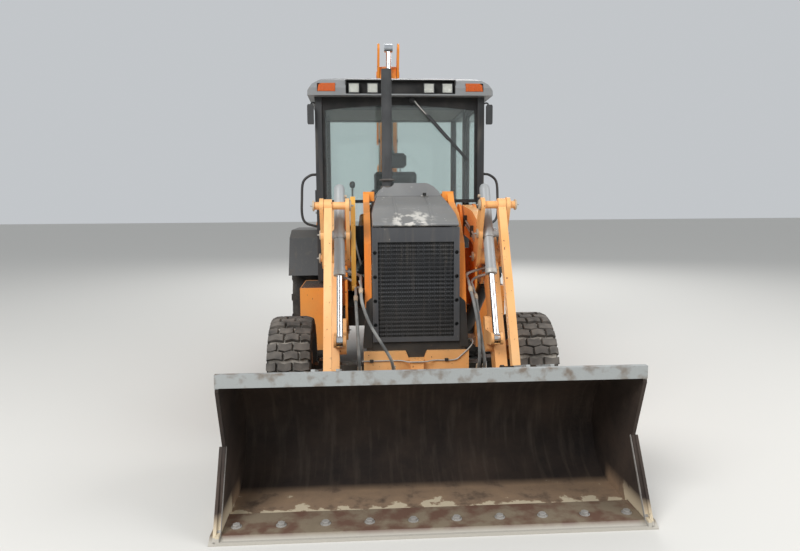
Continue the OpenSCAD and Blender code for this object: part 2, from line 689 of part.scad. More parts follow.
module tilt_barrels() { color(grey_sheet) placed() both() difference() {
    union() {
        towards(tilt_x, trunnion, tilt_eye) translate([0, 0, -330])
            cylinder(h = 600, r = tilt_barrel_r - 2);
        towards(tilt_x, trunnion, tilt_eye) translate([0, 0, 236]) cylinder(h = 34, r = tilt_barrel_r);
        towards(tilt_x, trunnion, tilt_eye) translate([0, 0, -30])
            cylinder(h = 60, r = tilt_barrel_r + 4);
        cross_pin(crank_in - 25, crank_out - crank_in + 50, trunnion, loader_pin_r);
    }
    towards(tilt_x, trunnion, tilt_eye) translate([0, 0, -290]) cylinder(h = 600, r = 20 + fit);
} }

module tilt_rods() { color(chrome) placed() both()
    rod(tilt_x, trunnion, tilt_eye, span(trunnion, tilt_eye) - 640, 20, 36, 38);
}

module lift_barrels() { color(black_steel) placed() both()
    barrel(arm_x, lift_base, lift_eye, 930, lift_barrel_r, 28, 52, 100, loader_pin_r);
}

module lift_rods() { color(chrome) placed() both()
    rod(arm_x, lift_base, lift_eye, 76, 28, 42, 58);
}

// A plate in the cross view that starts at y and is w deep, its outline in [x, z]
module cross_plate(y, w) {
    translate([0, y + w, 0]) rotate([90, 0, 0]) linear_extrude(w) children();
}

module long_pin(y, w, p, r) {
    translate([p[0], y, p[1]]) rotate([-90, 0, 0]) cylinder(h = w, r = r);
}

module towards_cross(y, p, q) {
    translate([p[0], y, p[1]]) rotate([0, 90 - heading(p, q), 0]) children();
}

module rear_frame() { color(orange) placed() {
    both() plate(330, 30) polygon([[4480, 470], [4960, 430], [4960, 1190], [4700, 1190], [4490, 960]]);
    translate([-330, 4930, 430]) cube([660, 30, 760]);
    translate([-330, 4500, 470]) cube([660, 25, 430]);
    for (z = [430, 861]) translate([0, 0, z]) linear_extrude(69) {
        translate([0, swing_y]) circle(68);
        polygon([[-150, 4959], [150, 4959], [68, swing_y], [-68, swing_y]]);
    }
    translate([0, swing_y, 420]) cylinder(h = 520, r = 35);
    // Stabiliser lugs and cylinder posts
    both() for (y = [stab_y - 75, stab_y + 60]) {
        cross_plate(y, 15) {
            bar2d(stab_pivot, [350, 600], 55, 110);
            polygon([[359, 500], [359, 1180], [340, 1180], [340, 500]]);
            bar2d(stab_base, [330, 1150], 42, 60);
        }
    }
    both() for (p = [stab_pivot, stab_base]) long_pin(stab_y - 75, 150, p, 22);
} }

stab_y = 4600;
stab_pivot = [430, 600];
stab_base = [330, 1500];
stab_raised = 70;
stab_travel = 101;
stab_len = 900;
stab_eye = stab_pivot + 300 * dir(stab_raised + 16);
stab_foot = stab_pivot + stab_len * dir(stab_raised);

module stabiliser() {
    far = stab_foot;
    difference() {
        union() {
            for (y = [stab_y - 55, stab_y + 40]) cross_plate(y, 15) {
                bar2d(stab_pivot, far, 62, 48);
                bar2d(stab_pivot, stab_eye, 62, 38);
                bar2d(stab_eye, stab_pivot + 520 * dir(stab_raised), 38, 50);
            }
            // Outer wall of the channel
            towards_cross(stab_y, stab_pivot, far) translate([46, -41, 0]) cube([12, 82, stab_len - 20]);
        }
        long_pin(stab_y - 80, 160, stab_pivot, 22 + fit);
    }
    long_pin(stab_y - 55, 110, far, 20);
    // Pad, flat on the ground once the leg is down
    translate([stab_pivot[0], 0, stab_pivot[1]]) rotate([0, -stab_travel, 0])
        translate([-stab_pivot[0], 0, -stab_pivot[1]]) {
            foot = stab_pivot + stab_len * dir(stab_raised - stab_travel);
            translate([foot[0] - 120, stab_y - 100, 12]) cube([250, 200, 22]);
            for (y = [stab_y - 39, stab_y + 24]) cross_plate(y, 15)
                polygon([foot + [-45, 0], foot + [45, 0], [foot[0] + 90, 33], [foot[0] - 90, 33]]);
        }
}
module stabiliser_left() { color(orange) placed() stabiliser(); }
module stabiliser_right() { color(orange) placed() mirror([1, 0, 0]) stabiliser(); }

module stabiliser_barrel() { difference() {
    union() {
        long_pin(stab_y - 55, 110, stab_base, 42);
        towards_cross(stab_y, stab_base, stab_eye) translate([0, 0, 20]) cylinder(h = 520, r = 36);
    }
    long_pin(stab_y - 60, 120, stab_base, 22 + fit);
    towards_cross(stab_y, stab_base, stab_eye) translate([0, 0, 60]) cylinder(h = 500, r = 20 + fit);
} }
module stabiliser_rod() {
    long_pin(stab_y - 30, 60, stab_eye, 34);
    towards_cross(stab_y, stab_base, stab_eye) translate([0, 0, 70])
        cylinder(h = span(stab_base, stab_eye) - 70, r = 20);
}
module stabiliser_barrel_left() { color(black_steel) placed() stabiliser_barrel(); }
module stabiliser_barrel_right() { color(black_steel) placed() mirror([1, 0, 0]) stabiliser_barrel(); }
module stabiliser_rod_left() { color(chrome) placed() stabiliser_rod(); }
module stabiliser_rod_right() { color(chrome) placed() mirror([1, 0, 0]) stabiliser_rod(); }

module swing_post() { color(orange) placed() difference() {
    union() {
        translate([0, swing_y, 500]) cylinder(h = 360, r = 58);
        for (z = [500, 805]) translate([-125, swing_y - 50, z]) cube([250, 150, 55]);
        both() plate(105, 25) difference() {
            union() {
                bar2d(boom_foot, boom_cyl_base, 100, 70);
                polygon([[swing_y - 50, 500], [swing_y + 120, 500], boom_foot + [20, -95], boom_foot,
                    boom_cyl_base, [swing_y - 50, 860]]);
            }
            // Room for the frame's upper lug when the arm swings
            polygon([
                [swing_y - 60, 856], [swing_y + 165, 856], [swing_y + 165, 936], [swing_y - 60, 936]]);
        }
        cross_pin(-138, 276, boom_foot, 32);
        cross_pin(-138, 276, boom_cyl_base, 28);
    }
    translate([0, swing_y, 490]) cylinder(h = 400, r = 35 + fit);
} }

module boom() { color(orange) placed() difference() {
    low = boom_foot + 850 * dir(boom_angle + 1);
    high = boom_foot + 1680 * dir(boom_angle + 1.5);
    union() {
        plate(-boom_w / 2, boom_w) {
            bar2d(boom_foot, low, 105, 130);
            bar2d(low, high, 130, 120);
            bar2d(high, boom_top, 120, 98);
        }
        both() plate(46, 22) bar2d(boom_cyl_eye, boom_foot + 1300 * dir(boom_angle + 3), 44, 90);
        both() plate(64, 22) bar2d(dipper_cyl_base, boom_foot + 1580 * dir(boom_angle + 1.5), 50, 100);
        cross_pin(-boom_w / 2 - 3, boom_w + 6, boom_foot, 75);
        cross_pin(-86, 172, dipper_cyl_base, 28);
        cross_pin(-140, 280, boom_top, 38);
    }
    cross_pin(-130, 260, boom_foot, 32 + fit);
} }

module dipper() { color(orange) placed() difference() {
    box_start = boom_top + 560 * dir(-dipper_fold);
    cheek_end = boom_top + 860 * dir(-dipper_fold);
    union() {
        plate(-85, 170) bar2d(box_start, dipper_tip, 88, 66);
        both() plate(84, 46) bar2d(box_start, cheek_end, 96, 84);
        both() plate(105, 25) {
            bar2d(boom_top, box_start, 112, 96);
            bar2d(boom_top, horn_pin, 112, 55);
            bar2d(bucket_cyl_base, boom_top + 300 * dir(-dipper_fold), 50, 90);
        }
        cross_pin(-130, 260, bucket_cyl_base, 28);
        cross_pin(-120, 240, rocker_pivot, 25);
    }
    cross_pin(-150, 300, boom_top, 38 + fit);
    cross_pin(-150, 300, dipper_tip, 28 + fit);
} }

module rocker() { color(orange) placed() difference() {
    union() {
        both() plate(95, 20) bar2d(rocker_pivot, rocker_pin, 50, 42);
        both() cross_pin(55, 62, rocker_pin, 25);
    }
    cross_pin(-150, 300, rocker_pivot, 25 + fit);
} }

module rocker_link() { color(orange) placed() difference() {
    both() plate(60, 26) bar2d(rocker_pin, dig_ear, 44, 44);
    for (p = [rocker_pin, dig_ear]) cross_pin(-100, 200, p, 25 + fit);
} }

dig_tip = dipper_tip + 900 * dir(-110);
dig_top_back = dipper_tip + [205, -150];
dig_top_front = dipper_tip + [-70, -110];

module dig_bowl(t) {
    low = touch(dig_tip, dig_back, dig_back_r, 1);
    high = touch(dig_top_back, dig_back, dig_back_r, -1);
    a = heading(dig_back, low);
    b = heading(dig_back, high);
    c = heading(dig_top_back, dig_top_front) + 90;
    open = t > 0 ? 400 : 0;
    translate(dig_back) circle(dig_back_r - t, $fn = 96);
    polygon([dig_tip - t * dir(a) + open * dir(a - 90), dig_back + (dig_back_r - t) * dir(a), dig_back,
        dig_back + (dig_back_r - t) * dir(b), dig_top_back - t * dir(b) + t * dir(c),
        dig_top_front + t * dir(c) + open * dir(c - 90)]);
}

module digging_bucket() { color(worn_steel) placed() {
    half = dig_w / 2;
    difference() {
        plate(-half, dig_w) dig_bowl(0);
        plate(-half + 16, dig_w - 32) dig_bowl(18);
    }
    for (i = [-2 : 2]) translate([i * (dig_w - 70) / 4, 0, 0]) plate(-28, 56) {
        a = heading(dig_tip, touch(dig_tip, dig_back, dig_back_r, 1));
        polygon([dig_tip + 60 * dir(a) + 30 * dir(a + 90), dig_tip + 60 * dir(a) - 14 * dir(a + 90),
            dig_tip - 30 * dir(a) - 16 * dir(a + 90), dig_tip - 130 * dir(a),
            dig_tip - 30 * dir(a) + 30 * dir(a + 90)]);
    }
    both() plate(92, 20) {
        bar2d(dipper_tip, dig_ear, 60, 50);
        polygon([dipper_tip + [-55, 0], dipper_tip + [-55, -112], dig_top_back, dig_ear]);
    }
    cross_pin(-122, 244, dipper_tip, 28);
    cross_pin(-122, 244, dig_ear, 25);
} }

module boom_barrel() { color(black_steel) placed()
    barrel(0, boom_cyl_base, boom_cyl_eye, 960, 58, 32, 60, 160, 28); }
module boom_rod() { color(chrome) placed()
    rod(0, boom_cyl_base, boom_cyl_eye, 100, 32, 44, 84); }
module dipper_barrel() { color(black_steel) placed()
    barrel(0, dipper_cyl_base, horn_pin, 670, 50, 28, 54, 120, 28); }
module dipper_rod() { color(chrome) placed()
    rod(0, dipper_cyl_base, horn_pin, 602, 28, 48, 100); }
module bucket_barrel() { color(black_steel) placed()
    barrel(0, bucket_cyl_base, rocker_pin, 700, 46, 25, 54, 180, 28); }
module bucket_rod() { color(chrome) placed()
    rod(0, bucket_cyl_base, rocker_pin, 570, 25, 42, 90); }

frame();
front_bumper();
loader_towers();
front_axle();
rear_axle();
engine();
grille();
side_panels();
rear_cowl();
exhaust();
cab_frame();
fenders();
roof();
cab_glass();
seat();
console();
side_boxes();
rear_frame();
lamps();
hood();
door_left();
door_left_glass();
door_right();
door_right_glass();
knuckle_left();
knuckle_right();
front_tyre_left();
front_rim_left();
front_tyre_right();
front_rim_right();
rear_tyre_left();
rear_rim_left();
rear_tyre_right();
rear_rim_right();
loader_arms();
bellcranks();
bucket_links();
loader_bucket();
tilt_barrels();
tilt_rods();
lift_barrels();
lift_rods();
swing_post();
boom();
dipper();
digging_bucket();
rocker();
rocker_link();
boom_barrel();
boom_rod();
dipper_barrel();
dipper_rod();
bucket_barrel();
bucket_rod();
stabiliser_left();
stabiliser_right();
stabiliser_barrel_left();
stabiliser_barrel_right();
stabiliser_rod_left();
stabiliser_rod_right();
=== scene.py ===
# %% [markdown]
# # Backhoe loader
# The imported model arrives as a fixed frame: every solid is already in its place, in metres, with the
# bucket facing -Y and +X on the machine's left. This lesson dresses that frame. It adds the hoses,
# lamps, bolts, seals and mirrors that a solid model leaves out, and a finish for each surface.

# %% Load the frame
import bpy, bmesh, json
from math import cos, pi, radians, sin
from mathutils import Matrix, Vector


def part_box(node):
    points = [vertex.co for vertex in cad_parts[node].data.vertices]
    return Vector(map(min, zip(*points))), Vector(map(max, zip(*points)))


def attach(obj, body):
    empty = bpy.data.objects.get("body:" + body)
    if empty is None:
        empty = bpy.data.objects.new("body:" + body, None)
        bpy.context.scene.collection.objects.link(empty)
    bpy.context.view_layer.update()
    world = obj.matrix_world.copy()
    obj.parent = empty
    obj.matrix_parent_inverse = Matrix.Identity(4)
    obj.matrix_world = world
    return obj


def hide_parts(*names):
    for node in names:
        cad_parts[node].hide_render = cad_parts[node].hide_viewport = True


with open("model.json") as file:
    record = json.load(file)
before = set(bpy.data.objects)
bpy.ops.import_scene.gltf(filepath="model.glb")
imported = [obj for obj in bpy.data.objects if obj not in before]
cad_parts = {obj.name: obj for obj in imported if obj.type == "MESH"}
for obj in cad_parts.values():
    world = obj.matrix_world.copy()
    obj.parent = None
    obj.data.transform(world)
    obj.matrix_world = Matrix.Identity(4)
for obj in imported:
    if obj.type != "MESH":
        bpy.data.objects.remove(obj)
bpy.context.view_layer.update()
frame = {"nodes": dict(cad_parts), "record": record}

nodes = frame["nodes"]
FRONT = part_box("loader_bucket")[0].y     # the tip of the cutting edge
print("solids", len(nodes), "cutting edge at y =", round(FRONT, 4))


def placed(name, data):
    """A new object in the scene."""
    made = bpy.data.objects.new(name, data)
    bpy.context.scene.collection.objects.link(made)
    return made


def baked(made):
    """Puts what the modifiers of an object make into its mesh, and takes them off."""
    mesh = bpy.data.meshes.new_from_object(made.evaluated_get(bpy.context.evaluated_depsgraph_get()))
    made.modifiers.clear()
    made.data = mesh
    return mesh


# %% [markdown]
# ## The camera
# The photograph was taken from eye height, a little to the right-hand side of the machine, from
# three metres before its bucket. The lens looks slightly down and towards the machine's left. The
# camera's three axes are worked out from those angles.

# %% The camera
PHOTO_WIDTH, FOCAL_PX = 800, 642.4       # both in pixels of the photograph
EYE = Vector((-0.3667, FRONT - 3.0065, 1.6424))
YAW, PITCH, ROLL = (radians(a) for a in (3.537, 6.264, -0.392))
ahead = Vector((sin(YAW) * cos(PITCH), cos(YAW) * cos(PITCH), -sin(PITCH)))
level = Vector((cos(YAW), -sin(YAW), 0.0))
rise = level.cross(ahead)
right = level * cos(ROLL) + rise * sin(ROLL)
top = rise * cos(ROLL) - level * sin(ROLL)
cam_data = bpy.data.cameras.new("camera")
cam_data.sensor_width = 36.0
cam_data.lens = FOCAL_PX / PHOTO_WIDTH * cam_data.sensor_width
camera = placed("camera", cam_data)
camera.matrix_world = Matrix.Translation(EYE) @ Matrix((right, top, -ahead)).transposed().to_4x4()
bpy.context.scene.camera = camera
print("lens", round(cam_data.lens, 2), "mm")

# %% [markdown]
# ## Helpers for colours and nodes
# Colours are picked as sRGB hex values, the way a paint chart gives them, and one function turns them
# to the linear values that the renderer works in. One more function adds a shader or geometry node
# with its settings and links. A finish gathers the few nodes that every material here is made of, so
# each recipe below stays short.

# %% Colour and node helpers
def linear(code):
    """A hex colour such as EE8A22 as linear RGBA."""
    parts = [int(code[i:i + 2], 16) / 255 for i in (0, 2, 4)]
    return tuple(c / 12.92 if c <= 0.04045 else ((c + 0.055) / 1.055) ** 2.4 for c in parts) + (1.0,)


def add(tree, kind, inputs=None, **settings):
    """Adds a node. An input is a value, or the socket of another node that it is linked to."""
    made = tree.nodes.new(kind)
    for key, value in settings.items():
        setattr(made, key, value)
    for key, value in (inputs or {}).items():
        if isinstance(value, bpy.types.NodeSocket):
            tree.links.new(value, made.inputs[key])
        else:
            made.inputs[key].default_value = value
    return made


class Finish:
    """A material in the making, with its Principled shader and its Object coordinates."""
    def __init__(self, name):
        self.material = bpy.data.materials.new(name)
        self.material.use_nodes = True
        self.tree = self.material.node_tree
        self.tree.nodes.clear()
        self.shader = self.add("ShaderNodeBsdfPrincipled")
        self.add("ShaderNodeOutputMaterial", {"Surface": self.shader.outputs[0]})
        self.where = self.add("ShaderNodeTexCoord").outputs["Object"]

    def add(self, kind, inputs=None, **settings):
        return add(self.tree, kind, inputs, **settings)

    def put(self, label, value):
        """Gives an input of the shader a value or a socket."""
        if isinstance(value, bpy.types.NodeSocket):
            self.tree.links.new(value, self.shader.inputs[label])
        else:
            self.shader.inputs[label].default_value = value

    def split(self, vector):
        """The three parts of a vector."""
        return self.add("ShaderNodeSeparateXYZ", {"Vector": vector}).outputs

    def squeezed(self, *scale):
        return self.add("ShaderNodeMapping", {"Vector": self.where, "Scale": scale}).outputs[0]

    def noise(self, scale, detail=4.0, roughness=0.5, where=None):
        return self.add("ShaderNodeTexNoise", {"Vector": where or self.where, "Scale": scale,
                                               "Detail": detail, "Roughness": roughness}).outputs[0]

    def ranged(self, value, low, high, to_low=0.0, to_high=1.0):
        """Maps a value from low..high to to_low..to_high, and clamps it."""
        return self.add("ShaderNodeMapRange", {"Value": value, "From Min": low, "From Max": high,
                                               "To Min": to_low, "To Max": to_high}).outputs[0]

    def mix(self, factor, first, second):
        """A colour mixed from two. Each is a hex colour, a linear colour or a socket."""
        first, second = (linear(c) if isinstance(c, str) else c for c in (first, second))
        return self.add("ShaderNodeMix", {0: factor, 6: first, 7: second}, data_type="RGBA").outputs[2]

    def patches(self, first, second, low, high, *texture):
        """Two colours in patches of a noise."""
        return self.mix(self.ranged(self.noise(*texture), low, high), first, second)

    def maths(self, operation, first, second, clamp=False):
        return self.add("ShaderNodeMath", {0: first, 1: second}, operation=operation,
                        use_clamp=clamp).outputs[0]

    def times(self, first, second):
        return self.maths("MULTIPLY", first, second)

    def bump(self, height, strength, distance):
        bump = self.add("ShaderNodeBump", {"Strength": strength, "Distance": distance, "Height": height})
        self.put("Normal", bump.outputs[0])


# %% [markdown]
# ## Enamel on sheet steel
# The orange and the grey parts are sprayed enamel that has stood outside for years. The eye gets a
# satin gloss, a colour that has bleached in broad patches, grey-brown dust that lies low down and on
# what faces up, thin rain streaks, and small chips down to the metal. The patches are about half a
# metre wide, the streaks 3 cm, and the chips a few millimetres.

# %% Enamel
PATCHES, SMUDGES, CHIPS, PEEL = 2.2, 11.0, 42.0, 160.0      # noise scales, per metre
STREAKS = (34.0, 34.0, 2.5)             # noise scale of the rain streaks along each axis
DUST_TOP, DUST_LOW = 1.1, 0.1           # the dust thickens between these heights


def enamel(name, fresh, bleached, bare="4A3A30", dust="8C7B66", gloss=0.42, chips=0.66, grime=0.55,
           worn=None):
    """Sprayed enamel. Worn is a place (centre, reach, colour) that is rubbed through to a paler coat."""
    f = Finish(name)
    paint = f.patches(fresh, bleached, 0.35, 0.68, PATCHES)
    if worn:
        centre, reach, shade = worn
        apart = f.add("ShaderNodeVectorMath", {0: f.where, 1: centre}, operation="DISTANCE")
        rubbed = f.times(f.ranged(apart.outputs["Value"], reach, reach * 0.5),
                         f.ranged(f.noise(13.0, 9.0, 0.6), 0.5, 0.58))
        paint = f.mix(rubbed, paint, shade)
    # Rain streaks are noise squeezed along Z
    streak = f.ranged(f.noise(1.0, 5.0, where=f.squeezed(*STREAKS)), 0.52, 0.8, 0.0, 0.35)
    # Dust lies low on the machine and on faces that look up
    low = f.ranged(f.split(f.where)[2], DUST_TOP, DUST_LOW, 0.0, grime)
    normal = f.add("ShaderNodeNewGeometry").outputs["Normal"]
    settled = f.ranged(f.split(normal)[2], 0.35, 1.0, 0.0, grime * 0.7)
    lying = f.times(f.maths("MAXIMUM", low, settled), f.times(f.noise(SMUDGES, 8.0), 1.7))
    soiled = f.maths("MAXIMUM", lying, streak, clamp=True)
    # Chips go down to the metal
    chipped = f.ranged(f.noise(CHIPS, 9.0, 0.6), chips, chips + 0.02)
    f.put("Base Color", f.mix(chipped, f.mix(soiled, paint, dust), bare))
    f.put("Roughness", f.ranged(f.maths("MAXIMUM", soiled, chipped), 0.0, 1.0, gloss, 0.85))
    f.bump(f.maths("SUBTRACT", f.noise(PEEL, 2.0), chipped), 0.25, 0.0006)
    return f.material


orange_enamel = enamel("orange_enamel", "E9811C", "EE9A3E")
# A lighter copy of the orange enamel for the parts the sun falls on: painted sunlight
sunlit_orange_enamel = enamel("painted_sunlight_orange_enamel", "E8A25C", "F0BA7E", chips=0.655, dust="A98D66")
yellow_enamel = enamel("yellow_enamel", "E6A63A", "F0BC5E")
grey_enamel = enamel("silver_grey_enamel", "8E9294", "A3A6A6", bare="D8D5CE", dust="90877A", gloss=0.38,
                     chips=0.7, grime=0.3)
hood_enamel = enamel("dark_grey_hood_enamel", "68696A", "797A7A", bare="C9C6BF", dust="8D8578", gloss=0.4,
                     chips=0.68, grime=0.3, worn=((-0.03, FRONT + 1.27, 1.55), 0.2, "C8C5BE"))
roof_enamel = enamel("roof_grey_enamel", "737577", "858788", bare="4A4A4A", dust="857D71", chips=0.72,
                     grime=0.25)
charcoal = enamel("charcoal_grille_enamel", "3C3D40", "4D4E50", bare="8A8378", dust="6F6659", chips=0.7,
                  grime=0.3)
black_enamel = enamel("black_enamel", "1B1C1E", "2A2B2C", bare="5B4C40", dust="6F6454", gloss=0.45,
                      chips=0.69, grime=0.4)

# %% [markdown]
# ## Worn bucket steel
# Digging scours the paint off a bucket, and rain browns it again. The inside is a matt brown with
# faint scratches, and the lip bar keeps a grey primer. Tan earth covers the floor, a paler crust of it
# dries behind the cutting edge, and the edge is rubbed bright at its tip. Height above the ground and
# distance from the tip tell these zones apart, because the part's own coordinates start on the ground.

# %% Worn steel
LIP_Z = 0.748                           # lower edge of the lip bar
EDGE_TOP, EDGE_DEPTH = 0.034, 0.271     # cutting edge


def bucket_zones(f, skin):
    """Lays earth, primer and bare steel over the skin of the loader bucket."""
    place = f.split(f.where)
    height, back = place[2], f.maths("SUBTRACT", place[1], FRONT)
    clods = f.noise(7.0, 8.0, 0.6)
    floor = f.times(f.ranged(height, 0.13, 0.05), f.ranged(back, 0.60, 0.53))
    earth = f.mix(f.ranged(clods, 0.38, 0.62), "8A7460", "9A8168")
    skin = f.mix(f.times(floor, f.ranged(clods, 0.25, 0.45)), skin, earth)
    crust = f.maths("ADD", clods, f.ranged(back, 0.42, 0.28, -0.16, 0.10))
    skin = f.mix(f.times(floor, f.ranged(crust, 0.5, 0.53)), skin, "CDBFA5")
    primer = f.patches("9FA2A1", "7C7268", 0.5, 0.68, 14.0, 6.0)
    skin = f.mix(f.ranged(height, LIP_Z - 0.002, LIP_Z), skin, primer)
    steel = f.patches("857764", "6B5042", 0.42, 0.6, 9.0, 6.0)
    steel = f.mix(f.ranged(back, 0.05, 0.02), steel, "B7B2A8")
    edge = f.times(f.ranged(height, EDGE_TOP + 0.001, EDGE_TOP),
                   f.ranged(back, EDGE_DEPTH + 0.004, EDGE_DEPTH))
    return f.mix(edge, skin, steel)


def worn_steel(name, dark, brown, pale, shine=0.62, zones=None):
    f = Finish(name)
    rubbed = f.ranged(f.noise(1.0, 6.0, where=f.squeezed(26.0, 2.0, 4.0)), 0.5, 0.85, 0.0, 0.5)
    skin = f.mix(rubbed, f.patches(dark, brown, 0.32, 0.7, 3.0, 8.0, 0.65), pale)
    f.put("Base Color", zones(f, skin) if zones else skin)
    f.put("Metallic", 0.3)
    f.put("Roughness", f.ranged(rubbed, 0.0, 1.0, shine + 0.15, shine - 0.2))
    f.bump(f.noise(90.0, 6.0), 0.4, 0.002)
    return f.material


bucket_steel = worn_steel("worn_bucket_steel", "2A2320", "493C33", "62564B", zones=bucket_zones)
dig_steel = worn_steel("worn_digging_steel", "2E211A", "54402F", "7E6E5E")
bright_edge = worn_steel("rubbed_steel_edge", "8B8782", "A9A6A1", "C4C1BC", shine=0.45)
stack_steel = worn_steel("sooty_exhaust_steel", "3A3B3C", "4F5051", "5F5F5E", shine=0.7)
cast_steel = worn_steel("heat_dulled_steel", "4A4744", "6B6660", "8C8680", shine=0.5)
pale_cast = worn_steel("dusty_cast_steel", "A89680", "C9B8A0", "D8CBB8", shine=0.55)
zinc = worn_steel("zinc_plated_steel", "8F8E8A", "B3B1AB", "CFCDC8", shine=0.42)

# %% [markdown]
# ## Chrome, rubber, glass and plastics
# Cylinder rods are hard chrome, so they mirror the floor and the sky. Tyre rubber is a matt black that
# dust turns grey in the tread. The cab's panes are green-tinted float glass 6 mm thick.

# %% Chrome, rubber, glass and plastics
def hard_chrome():
    f = Finish("hard_chrome")
    f.put("Metallic", 1.0)
    f.put("Base Color", linear("D5D8DB"))
    f.put("Roughness", f.ranged(f.noise(30.0), 0.3, 0.8, 0.08, 0.3))
    return f.material


def dusty_rubber(name, black, dust, grain=240.0, spread=(0.38, 0.72)):
    f = Finish(name)
    f.put("Base Color", f.patches(black, dust, *spread, 9.0, 8.0))
    f.put("Roughness", 0.82)
    f.bump(f.noise(grain, 3.0), 0.3, 0.001)
    return f.material


def clear_pane(name, tint, roughness, clearness):
    f = Finish(name)
    f.put("Base Color", linear(tint))
    f.put("Transmission Weight", clearness)
    f.put("IOR", 1.5)
    f.put("Roughness", f.ranged(f.noise(5.0, 6.0), 0.3, 0.8, roughness, roughness + 0.08))
    return f.material


def moulded(name, shade, roughness=0.6, grain_mm=1.2):
    f = Finish(name)
    lighter = tuple(min(1.0, c * 1.8 + 0.01) for c in linear(shade)[:3]) + (1.0,)
    f.put("Base Color", f.mix(f.noise(12.0, 6.0), shade, lighter))
    f.put("Roughness", roughness)
    f.bump(f.noise(250 / grain_mm, 2.0), 0.2, 0.0005)
    return f.material


chrome = hard_chrome()
rubber = dusty_rubber("dusty_tyre_rubber", "232221", "4B443C")
hose_rubber = dusty_rubber("dusty_hose_rubber", "5E5F5E", "9A9A96", 400.0)
black_rubber = dusty_rubber("black_seal_rubber", "151515", "2C2A28", 400.0)
glass = clear_pane("tinted_float_glass", "EAF4F1", 0.0, 0.97)
lens = clear_pane("clear_lamp_lens", "F2F2EA", 0.12, 0.7)
amber = clear_pane("amber_lamp_lens", "D9661F", 0.18, 0.35)
red_lens = clear_pane("red_lamp_lens", "B01A14", 0.18, 0.3)
seat_cloth = moulded("black_seat_cloth", "1E1E20", 0.85, 2.0)
plastic = moulded("black_moulded_plastic", "1C1D1E", 0.5)
red_plastic = moulded("red_moulded_plastic", "A81C14", 0.5)

# %% Give each solid its finish
finish_of = {
    # The slot named faded paint gets the lighter orange of painted sunlight
    "orange_paint": orange_enamel, "faded_paint": sunlit_orange_enamel, "grey_paint": grey_enamel,
    "black_steel": black_enamel, "worn_steel": bucket_steel, "cast_iron": cast_steel, "chrome": chrome,
    "exhaust_steel": stack_steel, "tyre_rubber": rubber, "tinted_glass": glass, "lamp_lens": lens,
    "seat_fabric": seat_cloth, "dark_plastic": plastic,
}
own_finish = {"digging_bucket": dig_steel, "hood": hood_enamel, "rear_cowl": hood_enamel,
              "roof": roof_enamel, "grille": charcoal}
slot_of = {row["node"]: row["material_slot"] for row in frame["record"]["subparts"]}
for name, solid in nodes.items():
    for place in solid.material_slots:
        place.material = own_finish.get(name, finish_of[slot_of[name]])
print("dressed", len(nodes), "solids")

# %% [markdown]
# ## Helpers for shapes
# Every added piece is built in mesh code. Its places are written as in the machine's own drawing:
# across from the middle, back from the tip of the cutting edge, and up from the ground, in metres.
# A piece gathers prisms, bent tubes and turned solids, then gets rounded edges and rides on a body.

# %% Shape helpers
def at(x, y, z):
    """A point in the frame from the machine's drawing: across, back from the cutting edge, up."""
    return Vector((x, FRONT + y, z))


def curved(points, steps):
    """More points on a smooth curve through the given ones."""
    ends = [points[0] * 2 - points[1]] + list(points) + [points[-1] * 2 - points[-2]]
    out = []
    for a, b, c, d in zip(ends, ends[1:], ends[2:], ends[3:]):
        for i in range(steps):
            t = i / steps
            out.append(0.5 * (2 * b + (c - a) * t + (2 * a - 5 * b + 4 * c - d) * t ** 2
                              + (3 * b - a - 3 * c + d) * t ** 3))
    return out + [points[-1]]


def circle(centre, u, v, radius, sides):
    """A ring of points round a centre in the plane of u and v."""
    turns = [2 * pi * i / sides for i in range(sides)]
    return [centre + u * radius * cos(a) + v * radius * sin(a) for a in turns]


# Where a point (u, v) of an outline lies at the distance w along an axis
ACROSS = {"x": lambda u, v, w: at(w, u, v), "y": lambda u, v, w: at(u, w, v)}
LEFT, BACK, UP = Vector((1, 0, 0)), Vector((0, 1, 0)), Vector((0, 0, 1))    # directions on the machine


